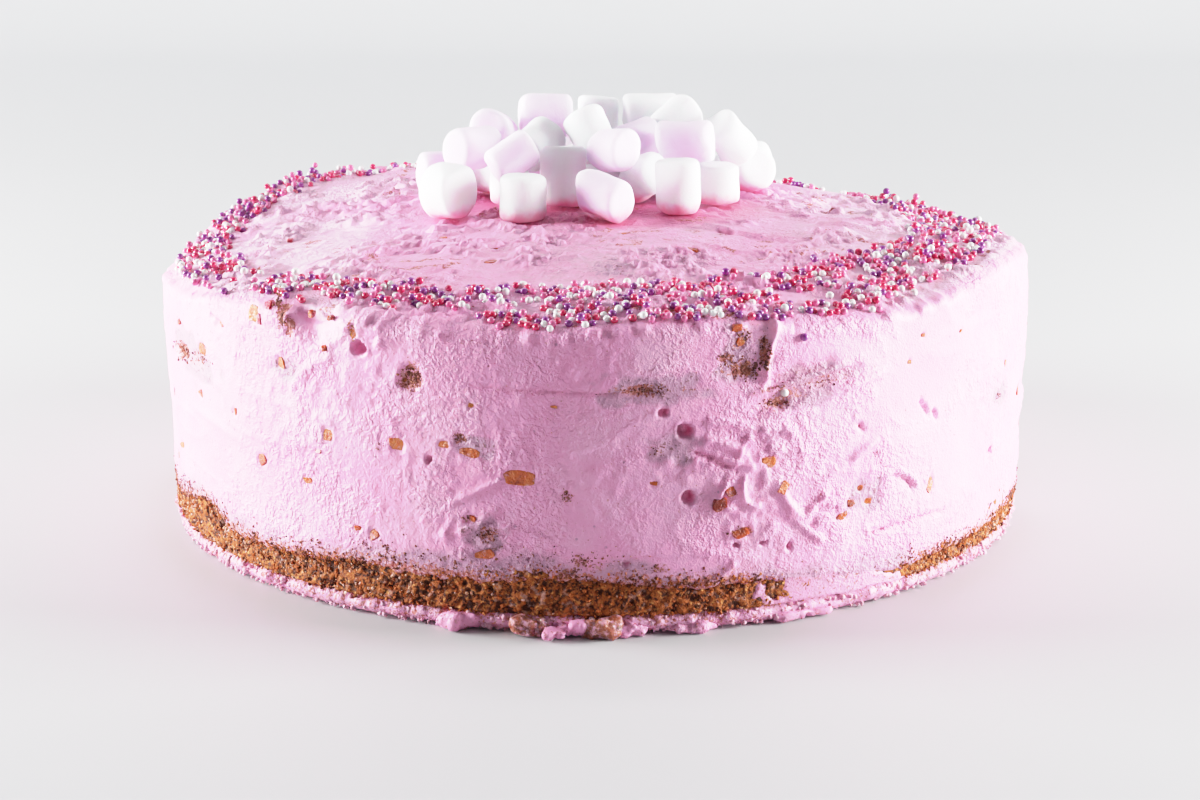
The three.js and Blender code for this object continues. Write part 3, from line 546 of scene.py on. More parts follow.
def side_skin():
    """The coat's side, from the underside over the foot, wall and rim to just inside the rim."""
    angle = coat_angles(COAT_COLUMNS)
    rings, marks = [], []

    def add_side(radius, z, turn, strength):
        relief, mark = side_relief(angle, z, place(angle, radius, z))
        out = strength * relief
        rings.append(place(angle, radius + out * math.cos(turn), z + out * math.sin(turn)))
        marks.append(mark)

    foot, edge, band_top = foot_rings(angle)
    for radius, z, crumb in foot:
        rings.append(place(angle, radius, z))
        marks.append(np.stack(np.broadcast_arrays(0.45, 0 * angle, 0.3, crumb), axis=-1))
    add_side(edge, band_top + 0.3, 0, 0.2)
    shoulder = rim_height(angle) - RIM_ROUNDING
    for share in np.linspace(0, 1, WALL_ROWS):
        z = lerp(band_top + 0.9, shoulder, share)
        inward = 0.5 * chip_depth(angle) * share ** 8
        add_side(wall_radius(angle, z) - inward, z, 0, min(0.4 + 8 * share, 1))
    at_rim = place(angle, TOP_RADIUS, MEAN_RIM_HEIGHT)
    torn_rim = wobble(at_rim, 5, 45) + 0.8 * smoothstep(-0.1, 0.3, wobble(at_rim, 3, 46)) - 0.3
    for degrees_up in RIM_TURNS:
        turn = math.radians(degrees_up)
        share = math.sin(2 * turn)
        z = shoulder + RIM_ROUNDING * math.sin(turn)
        inward = RIM_ROUNDING * (1 - math.cos(turn)) + 0.5 * chip_depth(angle)
        inward = inward - 0.7 * share * np.maximum(torn_rim, 0)
        add_side(wall_radius(angle, z) - inward, z + 0.5 * share * torn_rim, turn, 1)
    for radius in np.linspace(117.6, SEAM_RADIUS - 2, 10):
        sunk = SEAM_DIP * smoothstep(SEAM_RADIUS + 0.5, SEAM_RADIUS - 2, radius)
        ring, mark = top_ring(angle, radius, sunk)
        rings.append(ring)
        marks.append(mark)
    rings.append(place(angle, SEAM_RADIUS - 5, UNDER_LID))
    marks.append(marks[-1])
    return joined(rings, marks, on_axis(0), on_axis(UNDER_LID))


def top_skin():
    """The coat's top, a lid whose edge dips just under the side's skin."""
    angle = coat_angles(COAT_COLUMNS)
    rings, marks = [place(angle, LID_STEPS[0][0], LID_BOTTOM)], []
    for outer, inner, steps, every in LID_STEPS:
        for radius in np.linspace(outer, inner, steps):
            sunk = SEAM_DIP * smoothstep(SEAM_RADIUS - 0.5, SEAM_RADIUS + 2, radius)
            ring, mark = top_ring(angle[::every], radius, sunk)
            rings.append(ring)
            marks.append(mark)
    return joined(rings, [marks[0]] + marks, on_axis(LID_BOTTOM), on_axis(rings[-1][:, 2].mean()))


def solid_object(name, points, faces, marks=(), material=None, smooth=True):
    """A mesh object at the origin. Marks are (name, one value a point) pairs that finishes read."""
    mesh = bpy.data.meshes.new(name)
    mesh.from_pydata((points * MM).tolist(), [], [tuple(int(i) for i in face) for face in faces])
    mesh.polygons.foreach_set("use_smooth", [smooth] * len(mesh.polygons))
    for mark, values in marks:
        layer = mesh.attributes.new(mark, "FLOAT", "POINT")
        layer.data.foreach_set("value", np.asarray(values, np.float32))
    mesh.validate()
    if material:
        mesh.materials.append(material)
    made = bpy.data.objects.new(name, mesh)
    bpy.context.scene.collection.objects.link(made)
    return made


class Wire:
    """What a socket of a finish carries, for sums and products."""

    def __init__(self, finish, socket):
        self.finish, self.socket = finish, socket

    def sum_with(self, operation, first, second, clamp=False):
        settings = {"operation": operation, "use_clamp": clamp}
        return self.finish.node("ShaderNodeMath", settings, {0: first, 1: second})

    def __add__(self, other):
        return self.sum_with("ADD", self, other)

    def __sub__(self, other):
        return self.sum_with("SUBTRACT", self, other)

    def __rsub__(self, other):
        return self.sum_with("SUBTRACT", other, self)

    def __mul__(self, other):
        return self.sum_with("MULTIPLY", self, other)

    __radd__, __rmul__ = __add__, __mul__

    def clamped(self):
        return self.sum_with("ADD", self, 0, clamp=True)


class Finish:
    """A material whose pattern is built from nodes. Constants are set on the shader itself."""

    def __init__(self, name, **constants):
        self.material = bpy.data.materials.new(name)
        self.material.use_nodes = True
        self.tree = self.material.node_tree
        self.tree.nodes.clear()
        self.shader = self.tree.nodes.new("ShaderNodeBsdfPrincipled")
        out = self.tree.nodes.new("ShaderNodeOutputMaterial")
        self.tree.links.new(self.shader.outputs[0], out.inputs[0])
        for socket, value in constants.items():
            self.shader.inputs[socket.replace("_", " ")].default_value = value

    def node(self, kind, settings, values, output=0):
        made = self.tree.nodes.new(kind)
        for name, value in settings.items():
            setattr(made, name, value)
        for socket, value in values.items():
            self.feed(made.inputs[socket], value)
        return Wire(self, made.outputs[output])

    def feed(self, socket, value):
        if isinstance(value, Wire):
            self.tree.links.new(value.socket, socket)
        else:
            socket.default_value = value

    def give(self, name, value):
        self.feed(self.shader.inputs[name], value)

    def position(self):
        return self.node("ShaderNodeTexCoord", {}, {}, "Object")

    def mark(self, name):
        return self.node("ShaderNodeAttribute", {"attribute_name": name}, {}, "Fac")

    def noise(self, size, detail=2, roughness=0.5):
        """Smooth noise from 0 to 1 whose patches are about `size` mm."""
        return self.node("ShaderNodeTexNoise", {}, {
            "Vector": self.position(), "Scale": 1 / (size * MM),
            "Detail": detail, "Roughness": roughness})

    def cells(self, size):
        """Distance to the middle of the nearest of many cells, `size` mm wide, in cell sizes."""
        return self.node("ShaderNodeTexVoronoi", {}, {
            "Vector": self.position(), "Scale": 1 / (size * MM)}, "Distance")

    def step(self, value, low, high):
        """0 below low, 1 above high, and smooth between."""
        return self.node("ShaderNodeMapRange", {"interpolation_type": "SMOOTHSTEP"}, {
            "Value": value, "From Min": low, "From Max": high})

    def patches(self, low, high, size, detail=2, roughness=0.5):
        """Soft-edged patches: 0 where the noise is below low, 1 where it is above high."""
        return self.step(self.noise(size, detail, roughness), low, high)

    def blend(self, share, first, second):
        """A mix of two colours."""
        return self.node("ShaderNodeMix", {"data_type": "RGBA"}, {0: share, 6: first, 7: second}, 2)

    def bump(self, height, distance, below=None):
        """Relief of `distance` mm from a value between 0 and 1, over the relief `below` it."""
        values = {"Height": height, "Distance": distance * MM}
        if below is not None:
            values["Normal"] = below
        return self.node("ShaderNodeBump", {}, values)


PINK = (0.91, 0.335, 0.60, 1)
PALE_PINK = (0.94, 0.455, 0.69, 1)
# Painted shade and glow: the deep pink of pits, creases, the foot lumps and the cream round the heap
SHADE_AND_GLOW_PINK = (0.62, 0.08, 0.19, 1)
# Wiped cream, which also paints shade in the top's middle, and heavy cream, which also paints light
# on the top's flanks
THIN_AND_SHADED_CREAM = (0.58, 0.29, 0.44, 1)
THINNER_AND_SHADED_CREAM = (0.40, 0.19, 0.31, 1)
THICK_AND_LIT_CREAM = (0.95, 0.60, 0.79, 1)
FLECK_GREY = (0.30, 0.14, 0.24, 1)
CRUMB_DARK = (0.045, 0.008, 0.004, 1)
CRUMB_BROWN = (0.43, 0.105, 0.022, 1)
CRUMB_LIGHT = (0.74, 0.28, 0.08, 1)
SMEARED_BROWN = (0.20, 0.075, 0.075, 1)
CREAMED_DARK = (0.27, 0.034, 0.034, 1)
CREAMED_BROWN = (0.52, 0.155, 0.135, 1)
CREAMED_PALE = (0.70, 0.33, 0.36, 1)


def crumb_color(finish):
    """Brown crumb: dark between the grains, orange-brown on them, and paler where it is dry."""
    color = finish.blend(finish.patches(0.38, 0.58, 1.2, 3, 0.6), CRUMB_DARK, CRUMB_BROWN)
    return finish.blend(finish.patches(0.54, 0.70, 1.0, 3) * 0.85, color, CRUMB_LIGHT)


def cream_finish():
    """Pink cream: pale where the coat is heavy, and on the top's flanks as painted light; mauve and
    specked where it is wiped to a veil, and in the top's middle as painted shade; deep pink as
    painted shade and glow; and full of crumb at the band.
    """
    cream = Finish("mascarpone_cream", Roughness=0.5, Subsurface_Weight=0.15,
                   Subsurface_Scale=0.002, Subsurface_Radius=(1, 0.32, 0.5),
                   Specular_IOR_Level=0.45)
    thin_and_shade, deep, smooth, crumb = (cream.mark(name) for name in COAT_MARKS)
    color = cream.blend(cream.patches(0.38, 0.72, 16, 4) * 0.55, PINK, PALE_PINK)
    # Painted light: where the top's mark goes below 0, on its flanks, the cream is coloured paler.
    # Elsewhere the pale patches are heavier cream.
    thick_and_lit = cream.step((cream.noise(9, 3) - 0.5) * 0.5 - thin_and_shade, 0, 0.4)
    color = cream.blend(thick_and_lit * 0.65, color, THICK_AND_LIT_CREAM)
    speckle = cream.noise(1.3, 3, 0.6)
    # Painted shade: the mauve of wiped cream also darkens the top's middle.
    spread = cream.step(thin_and_shade + (cream.noise(4, 4, 0.6) - 0.5) * 1.1, 0.2, 1.0)
    color = cream.blend(spread * 0.95, color, THIN_AND_SHADED_CREAM)
    color = cream.blend(spread * cream.step(speckle, 0.48, 0.68) * 0.6, color, THINNER_AND_SHADED_CREAM)
    bits = cream.patches(0.57, 0.66, 1.1, 2, 0.6) * cream.patches(0.42, 0.6, 5, 2)
    color = cream.blend(bits * cream.step(thin_and_shade, 0.3, 0.8) * 0.9, color, SMEARED_BROWN)
    flecks = (1 - cream.step(cream.cells(4.2), 0.05, 0.12)) * cream.patches(0.45, 0.56, 9, 1)
    color = cream.blend(flecks * 0.6, color, FLECK_GREY)
    # Painted shade and glow where the deep mark is set.
    color = cream.blend(deep.clamped(), color, SHADE_AND_GLOW_PINK)
    shown = cream.step(crumb + (cream.noise(0.9, 3, 0.65) - 0.5) * 3.0, 0.44, 0.66)
    creamed = cream.blend(cream.patches(0.36, 0.52, 1.0, 3, 0.6), CREAMED_DARK, CREAMED_BROWN)
    creamed = cream.blend(cream.patches(0.52, 0.66, 1.4, 3) * 0.8, creamed, CREAMED_PALE)
    cream.give("Base Color", cream.blend(shown, color, creamed))
    cream.give("Roughness", cream.noise(5, 2) * 0.2 + 0.38 + shown * 0.25)
    fine = cream.bump(cream.noise(0.5, 2), 0.12)
    patches = cream.patches(0.38, 0.62, 14, 3) * 0.75 + 0.25
    pebbles = (1 - cream.cells(1.8)) * 0.4
    pebbles = pebbles + cream.patches(0.40, 0.64, 1.1, 2, 0.6) * 0.35
    skin = (pebbles + cream.noise(0.8, 2, 0.6) * 0.45) * patches * (1 - smooth * 0.8)
    cream.give("Normal", cream.bump(skin, 0.62, below=fine))
    return cream.material


cream_material = cream_finish()
for name, (points, faces, marks) in (("cream_side", side_skin()), ("cream_top", top_skin())):
    coat = solid_object(name, points, faces, zip(COAT_MARKS, marks.T), cream_material)
    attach(coat, "root")
    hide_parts("cream")

# The sponge: two layers of coarse brown crumb. The lowest one is bare in a band round the foot,
# and the upper one shows only where the knife tore the coat. Loose crumbs cling to both.
CRUMB_HEIGHT = 0.9
CREAM_SMEAR = (0.70, 0.40, 0.36, 1)


def sponge_object(name, layer, material):
    """A closed disc of sponge whose side is lumpy with crumb."""
    angle = np.linspace(-180, 180, layer["columns"], endpoint=False)
    rings, hollows = [], []
    for share in np.linspace(0, 1, layer["rows"]):
        z = lerp(layer["bottom"], layer["top"], share)
        edge = place(angle, layer["radius"], z)
        tucked = 1.6 * (1 - smoothstep(0, 0.07, share)) + 2 * smoothstep(0.75, 1, share)
        lumps = (0.45 - np.abs(wobble(edge, 2.4, 51))) + 0.8 * (0.4 - np.abs(wobble(edge, 1.3, 52)))
        radius = layer["radius"] - tucked + CRUMB_HEIGHT * lumps
        rings.append(place(angle, radius, z + 0.25 * wobble(edge, 1.6, 53)))
        # Painted shade: the hollows between the lumps get a mark that colours them dark.
        hollows.append(0.5 - lumps)
    ends = [place(angle, layer["radius"] - 8, layer[end]) for end in ("bottom", "top")]
    tips = [on_axis(layer[end]) for end in ("bottom", "top")]
    rings, hollows = [ends[0], *rings, ends[1]], [hollows[0], *hollows, hollows[-1]]
    points, faces, hollow = joined(rings, hollows, *tips)
    return solid_object(name, points, faces, [("hollow", hollow)], material)


def sponge_finish():
    sponge = Finish("brown_sponge", Roughness=0.85, Subsurface_Weight=0.12, Subsurface_Scale=0.002,
                    Subsurface_Radius=(1, 0.5, 0.25), Specular_IOR_Level=0.25)
    hollow = sponge.mark("hollow")
    # Painted shade: the hollows between the lumps of crumb are coloured dark.
    color = sponge.blend(sponge.step(hollow, 0.25, 0.7) * 0.95, crumb_color(sponge), CRUMB_DARK)
    color = sponge.blend(sponge.patches(0.56, 0.72, 2.2, 3) * 0.5, color, CREAM_SMEAR)
    sponge.give("Base Color", color)
    sponge.give("Roughness", sponge.noise(1.5, 2) * 0.3 + 0.55)
    sponge.give("Normal", sponge.bump(sponge.noise(0.7, 3, 0.65), 0.6))
    return sponge.material


sponge_material = sponge_finish()
for name, layer in (("sponge_base", BASE_LAYER), ("sponge_upper", UPPER_LAYER)):
    sponge = sponge_object(name + "_crumb", layer, sponge_material)
    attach(sponge, "root")
    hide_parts(name)

# Loose crumbs: bits of sponge that the knife dragged into the cream, thickest just above the
# bare band, in the torn and wiped patches and in the scoop out of the rim.
CRUMB_PATCHES = [  # angle, height, how wide, how high, how many, largest size
    (-72.4, 66.4, 10, 5.6, 190, 1.1), (-70.2, 70.6, 3, 9, 90, 1.1), (-74.9, 69.4, 5, 4, 60, 1),
    (-72.6, 74.5, 5, 4, 30, 1), (-84.3, 62.4, 13, 3.4, 130, 0.9), (-69, 57, 10, 3, 100, 0.9),
    (-63, 60.8, 14, 3, 70, 0.7), (-68.6, 61, 8, 3, 60, 0.8), (-155.4, 54.3, 16, 5, 150, 1.2),
    (-148, 56, 12, 4, 60, 1), (-111.5, 63.2, 6.4, 6.4, 130, 1.2), (-130.5, 78, 2.2, 8, 90, 0.9),
    (-129.6, 73.4, 2, 5, 60, 0.9), (-105.6, 49.4, 4, 3, 40, 1), (-116, 45.6, 3.5, 2.5, 24, 0.8),
    (-93.4, 35.9, 3.6, 3.6, 34, 0.9), (-102.4, 25.6, 6, 4, 60, 1.1),
    (-104.6, 29.2, 4.5, 2.5, 30, 1), (-102.8, 19.9, 5, 2.6, 30, 1), (-83, 47.4, 6, 4, 50, 0.7),
    (-73, 25.4, 6.5, 2.6, 60, 1), (-58.2, 28.6, 3.4, 3, 30, 0.8), (-54.8, 40.3, 3.4, 2, 12, 0.6),
    (-119.2, 73.6, 2.4, 4, 30, 1), (-91.5, 19.4, 6, 3.6, 60, 0.9), (-82.6, 17.3, 5, 2.6, 36, 0.8),
    (-89, 20.5, 34, 5, 90, 0.6), (-121, 20, 30, 5, 50, 0.6), (12, 60.5, 14, 5, 120, 1.1),
    (74, 57.5, 11, 5, 110, 1.1), (131, 62.4, 16, 4, 120, 1.1), (98, 68, 9, 9, 90, 1.2),
    (40, 30, 8, 4, 50, 1), (-28, 44, 5, 3, 30, 0.8), (160, 42, 8, 4, 50, 1),
    (112, 30, 6, 3, 36, 0.9), (60, 66, 6, 3, 36, 0.9)]
# How many crumbs are strewn: above the band, on its upper edge, on it and on the lip of cream
BAND_CRUMBS = 9000
EDGE_CRUMBS = 4000
BOLD_CRUMBS = 7000
FAINT_CRUMBS = 4200
LIP_CRUMBS = 1900


def coat_surface(angle, z):
    """Radius of the finished side at an angle and a height."""
    angle, z = np.atleast_1d(np.asarray(angle, float)), np.atleast_1d(np.asarray(z, float))
    radius = wall_radius(angle, z)
    return radius + side_relief(angle, z, place(angle, radius, z))[0]


def grain_tree(name, uneven, rounded):
    """Nodes that set a small lump on every point, as big as its 'size' says."""
    tree = bpy.data.node_groups.new(name, "GeometryNodeTree")
    sockets = {"Points": "Geometry", "Corners": "Int", "Unevenness": "Float", "Finish": "Material"}
    for label, kind in sockets.items():
        tree.interface.new_socket(label, in_out="INPUT", socket_type="NodeSocket" + kind)
    tree.interface.new_socket("Grains", in_out="OUTPUT", socket_type="NodeSocketGeometry")

    def add(kind, values, **settings):
        """A node with its settings made first, then its values and links. Returns its outputs."""
        made = tree.nodes.new(kind)
        for setting, value in settings.items():
            setattr(made, setting, value)
        for socket, value in values.items():
            if isinstance(value, bpy.types.NodeSocket):
                tree.links.new(value, made.inputs[socket])
            else:
                made.inputs[socket].default_value = value
        return made.outputs

    given = add("NodeGroupInput", {})
    lump = add("GeometryNodeMeshIcoSphere", {"Radius": 1, "Subdivisions": given["Corners"]})
    size = add("GeometryNodeInputNamedAttribute", {"Name": "size"}, data_type="FLOAT")
    stretch = add("FunctionNodeRandomValue", {
        "Min": [1 - uneven] * 3, "Max": [1 + uneven] * 3, "Seed": 5}, data_type="FLOAT_VECTOR")
    scaled = add("ShaderNodeVectorMath", {
        0: stretch["Value"], "Scale": size["Attribute"]}, operation="SCALE")
    turn = add("FunctionNodeRandomValue", {"Max": [6.28] * 3, "Seed": 9}, data_type="FLOAT_VECTOR")
    setting = add("GeometryNodeInstanceOnPoints", {
        "Points": given["Points"], "Instance": lump["Mesh"],
        "Rotation": turn["Value"], "Scale": scaled["Vector"]})
    real = add("GeometryNodeRealizeInstances", {0: setting["Instances"]})
    bumps = add("ShaderNodeTexNoise", {"Scale": 1400, "Detail": 1})
    centred = add("ShaderNodeVectorMath", {0: bumps["Color"], 1: [0.5] * 3}, operation="SUBTRACT")
    moved = add("ShaderNodeVectorMath", {
        0: centred["Vector"], "Scale": given["Unevenness"]}, operation="SCALE")
    shift = add("GeometryNodeSetPosition", {"Geometry": real[0], "Offset": moved["Vector"]})
    soft = add("GeometryNodeSetShadeSmooth", {0: shift[0], "Shade Smooth": rounded})
    painted = add("GeometryNodeSetMaterial", {"Geometry": soft[0], "Material": given["Finish"]})
    add("NodeGroupOutput", {"Grains": painted[0]})
    return tree


def grains(name, middles, sizes, material, corners=2, uneven=0.0, offset=0.0, rounded=True):
    """One piece with a small lump at every middle, made by nodes and turned into a plain mesh.

    The lumps differ in their proportions by `uneven`, and their skin by up to half of `offset` mm.
    """
    seedbed = solid_object(name, middles, [], [("size", sizes * MM)])
    tree = grain_tree(name + "_nodes", uneven, rounded)
    modifier = seedbed.modifiers.new("grains", "NODES")
    modifier.node_group = tree
    given = {item.name: item.identifier for item in tree.interface.items_tree}
    modifier[given["Corners"]] = corners
    modifier[given["Unevenness"]] = offset * MM
    modifier[given["Finish"]] = material
    evaluated = seedbed.evaluated_get(bpy.context.evaluated_depsgraph_get())
    plain = bpy.data.meshes.new_from_object(evaluated)
    seedbed.modifiers.remove(modifier)
    seedbed.data = plain
    return seedbed


def crumb_points():
    """Crumbs dragged into the cream, in the patches and just above the bare band."""
    draw = seeded(61)
    middles, sizes = [], []
    for angle, z, wide, high, count, largest in CRUMB_PATCHES:
        spread = draw.normal(0, 0.42, (count, 2))
        at = angle + np.degrees(spread[:, 0] * wide / 2 / TOP_RADIUS)
        up = z + spread[:, 1] * high / 2
        size = largest * 0.37 * draw.uniform(0.3, 1, count) ** 1.2
        middles.append(place(at, coat_surface(at, up) - 0.3 * size, up))
        sizes.append(size)
    at = draw.uniform(-180, 180, BAND_CRUMBS)
    rise = np.abs(draw.normal(0, 1, BAND_CRUMBS))
    up = around(BAND_TOPS, at) + 0.2 + rise * (around(VEIL_TOPS, at) - around(BAND_TOPS, at)) * 0.42
    spots = place(at, TOP_RADIUS, up)
    clump = smoothstep(-0.1, 0.5, wobble(spots, 4.5, 64) + 0.6 * wobble(spots, 2, 65))
    kept = draw.uniform(0, 1, BAND_CRUMBS) < (0.1 + 0.9 * clump) * (0.15 + 0.85 * bareness(at))
    at, up = at[kept], up[kept]
    size = lerp(0.5, 0.34, np.minimum(rise[kept], 1)) * draw.uniform(0.3, 1.15, len(at)) ** 1.3
    middles.append(place(at, coat_surface(at, up) - 0.15 * size, up))
    sizes.append(size)
    return np.concatenate(middles), np.concatenate(sizes)


def band_crumb_points(seed, count, low, high, in_front=1):
    """Crumbs that stand out of the bare band, a share of them `in_front`."""
    draw = seeded(seed)
    at = draw.uniform(-180, 180, count)
    up = lerp(BASE_LAYER["bottom"] + 0.4, around(BAND_TOPS, at) - 0.2, draw.uniform(0, 1, count))
    share = lerp(in_front, 1, smoothstep(8, 40, np.abs(at + 90)))
    kept = draw.uniform(0, 1, count) < bareness(at) * share
    size = draw.uniform(low, high, count) / 2
    middles = place(at, BASE_LAYER["radius"] + draw.uniform(-0.45, 0.3, count), up)
    return middles[kept], size[kept]


def edge_crumb_points():
    """Crumbs that make the upper edge of the bare band ragged."""
    draw = seeded(66)
    at = draw.uniform(-180, 180, EDGE_CRUMBS)
    at = at[draw.uniform(0, 1, EDGE_CRUMBS) < bareness(at)]
    up = around(BAND_TOPS, at) - 0.3 + 1.1 * np.abs(draw.normal(0, 1, len(at)))
    size = draw.uniform(0.2, 0.48, len(at))
    return place(at, coat_surface(at, up) - 0.3 * size, up), size


def lip_crumb_points():
    """Small lumps of cream on the lip at the foot."""
    draw = seeded(64)
    at = draw.uniform(-180, 180, LIP_CRUMBS)
    size = 0.45 * draw.uniform(0.5, 1.9, LIP_CRUMBS)
    up = np.maximum(draw.uniform(0.2, 4.6, LIP_CRUMBS), 0.3 + 1.1 * size)
    out = LIP_RADIUS - 0.5 + draw.uniform(-0.6, 0.4, LIP_CRUMBS) - 0.5 * np.maximum(1.5 - up, 0)
    return place(at, out, up), size


def crumb_finish(name, dark, light):
    crumb = Finish(name, Roughness=0.8, Subsurface_Weight=0.15, Subsurface_Scale=0.0015,
                   Subsurface_Radius=(1, 0.5, 0.25), Specular_IOR_Level=0.3)
    crumb.give("Base Color", crumb.blend(crumb.patches(0.35, 0.65, 1.6, 2), dark, light))
    crumb.give("Normal", crumb.bump(crumb.noise(0.5, 2), 0.3))
    return crumb.material


dark_crumb = crumb_finish("dark_crumb", (0.07, 0.011, 0.004, 1), (0.50, 0.115, 0.026, 1))
smeared_crumb = crumb_finish("smeared_crumb", (0.10, 0.025, 0.020, 1), (0.39, 0.13, 0.09, 1))
pale_crumb = crumb_finish("pale_crumb", (0.62, 0.28, 0.15, 1), (0.82, 0.48, 0.42, 1))
lip_crumb = crumb_finish("lip_crumb", (0.66, 0.27, 0.38, 1), (0.87, 0.47, 0.62, 1))
bold_and_edge = band_crumb_points(62, BOLD_CRUMBS, 0.45, 1.15), edge_crumb_points()
bold = [np.concatenate(parts) for parts in zip(*bold_and_edge)]
dragged = grains("crumbs_in_cream", *crumb_points(), smeared_crumb, 1, 0.4, 0.5, False)
brown_crumbs = grains("crumbs_brown", *bold, dark_crumb, 1, 0.4, 0.8, False)
faint = band_crumb_points(63, FAINT_CRUMBS, 0.4, 0.95, 0.1)
pale_crumbs = grains("crumbs_pale", *faint, pale_crumb, 1, 0.4, 0.6, False)
lip_crumbs = grains("crumbs_of_cream", *lip_crumb_points(), lip_crumb, 1, 0.4, 0.9)
for piece in (dragged, brown_crumbs, pale_crumbs):
    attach(piece, "root")
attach(lip_crumbs, "root")

# Caramel and berry bits: soft amber toffee chopped into rough dice and stirred into the cream,
# with a few dried red berries. The knife pressed them flush, so each shows one flat face.
BIT_HALF_DEPTH = 1.1
BIT_PROUD = 0.75
BIT_CUTS = 3
BIT_CUT_AT = (0.62, 0.85)
BIT_FACE_AT = (0.5, 0.72)
CREAM_FILM = (0.86, 0.45, 0.62, 1)
TOP_BERRIES = [(-85, -16, 1.6, 1.6, 0, 0)]


def die_shape(cuts, squareness):
    """Points and faces of a rounded cube, 2 across, with its faces cut in `cuts` by `cuts`."""
    steps = np.linspace(-1, 1, cuts + 1)
    points, faces = [], []
    for axis in range(3):
        for side in (-1, 1):
            start = len(points)
            for u in steps:
                for v in steps:
                    corner = np.zeros(3)
                    corner[axis], corner[(axis + 1) % 3], corner[(axis + 2) % 3] = side, u, v
                    points.append(corner)
            for i in range(cuts):
                for j in range(cuts):
                    a, b = start + i * (cuts + 1) + j, start + (i + 1) * (cuts + 1) + j
                    faces.append((a, b, b + 1, a + 1) if side > 0 else (a, a + 1, b + 1, b))
    points = np.array(points)
    length = (np.abs(points) ** squareness).sum(1) ** (1 / squareness)
    keys, back = np.unique(np.round(points, 4), axis=0, return_inverse=True)
    order = np.zeros(len(keys), int)
    order[back.ravel()] = np.arange(len(points))
    rounded = (points / length[:, None])[order]
    return rounded, [tuple(back.ravel()[i] for i in face) for face in faces]


def top_surface(angle, radius):
    """Height of the finished top."""
    plain = place(angle, radius, top_height(angle, radius))
    return plain[:, 2] + top_relief(angle, radius, plain)[0]


def wall_frame(angle):
    """Directions at an angle on the side: out of it, along it and up."""
    a = math.radians(angle)
    return np.array([[math.cos(a), math.sin(a), 0], [-math.sin(a), math.cos(a), 0], [0, 0, 1.0]])


def together(bodies):
    """Points and faces of one mesh from those of several bodies."""
    starts = np.cumsum([0] + [len(points) for points, _ in bodies])
    faces = [tuple(start + i for i in face)
             for start, (_, shape) in zip(starts, bodies) for face in shape]
    return np.concatenate([points for points, _ in bodies]), faces


def bit_meshes(spots, top_spots, seed):
    """Rough dice set in the side and the top, with each one's tone at its points."""
    draw = seeded(seed)
    shape, shape_faces = die_shape(8, 9)
    bodies = []

    def add(out, along, up, middle, wide, high, lean):
        lean = math.radians(lean)
        right = along * math.cos(lean) + up * math.sin(lean)
        over = up * math.cos(lean) - along * math.sin(lean)
        at = shape + draw.uniform(0, 20, 3)
        rough = shape * (1 + 0.24 * wobble(at, 1.1, 71) + 0.08 * wobble(at, 0.5, 72))[:, None]
        for _ in range(BIT_CUTS):
            way = draw.normal(size=3) * (0.5, 1, 1)
            way /= np.linalg.norm(way)
            over_cut = np.maximum(rough @ way - draw.uniform(*BIT_CUT_AT) * (rough @ way).max(), 0)
            rough = rough - np.outer(over_cut, way)
        flat = draw.uniform(*BIT_FACE_AT) + 0.15 * rough[:, 1:] @ draw.normal(size=2)
        rough[:, 0] = np.minimum(rough[:, 0], flat)
        sized = rough * (BIT_HALF_DEPTH, wide / 2, high / 2)
        bodies.append((middle + sized @ np.stack([out, right, over]), shape_faces))

    for angle, z, wide, high, lean, _ in spots:
        sunk = coat_surface(angle, z)[0] - BIT_HALF_DEPTH + BIT_PROUD
        add(*wall_frame(angle), place(np.array(angle), sunk, z), wide, high, lean)
    for x, y, long, wide, turn, _ in top_spots:
        height = top_surface(np.array([math.degrees(math.atan2(y, x))]), math.hypot(x, y))[0]
        middle = np.array([x, y, height - BIT_HALF_DEPTH + BIT_PROUD])
        along, across, up = wall_frame(turn)
        add(up, along, across, middle, long, wide, 0)
    tones = [spot[-1] for spot in spots + top_spots]
    return *together(bodies), np.repeat(tones, len(shape))


def bit_finish(name, dark, middle, pale, roughness, smeared=0.6):
    """Toffee or berry of uneven tone, with a broken film of cream over a share `smeared` of it."""
    bit = Finish(name, Roughness=roughness, Subsurface_Weight=0.5, Subsurface_Scale=0.0025,
                 Subsurface_Radius=(1, 0.45, 0.15), Specular_IOR_Level=0.5, Coat_Weight=0.15)
    tone = bit.mark("tone") + (bit.noise(2.2, 3, 0.6) - 0.5) * 2
    color = bit.blend(bit.step(tone, 0.05, 0.5), dark, middle)
    color = bit.blend(bit.step(tone, 0.5, 1.0), color, pale)
    film = bit.patches(0.67 - smeared / 4, 0.66, 1.5, 4, 0.65) * smeared
    bit.give("Base Color", bit.blend(film, color, CREAM_FILM))
    bit.give("Roughness", film * 0.25 + roughness)
    bit.give("Normal", bit.bump(bit.noise(0.8, 3, 0.6), 0.5))
    return bit.material


caramel_material = bit_finish(
    "amber_caramel", (0.24, 0.024, 0.010, 1), (0.56, 0.090, 0.010, 1), (0.68, 0.18, 0.05, 1),
    roughness=0.3, smeared=0.4)
berry_material = bit_finish(
    "red_berry", (0.42, 0.012, 0.045, 1), (0.62, 0.05, 0.12, 1), (0.8, 0.3, 0.36, 1),
    roughness=0.4)
for name, spots, top_spots, seed, material in (
        ("caramel_bits", CARAMELS, TOP_CARAMELS, 73, caramel_material),
        ("berry_bits", BERRIES, TOP_BERRIES, 74, berry_material)):
    points, faces, tones = bit_meshes(spots, top_spots, seed)
    bits = solid_object(name, points, faces, [("tone", tones)], material, smooth=False)
    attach(bits, "root")

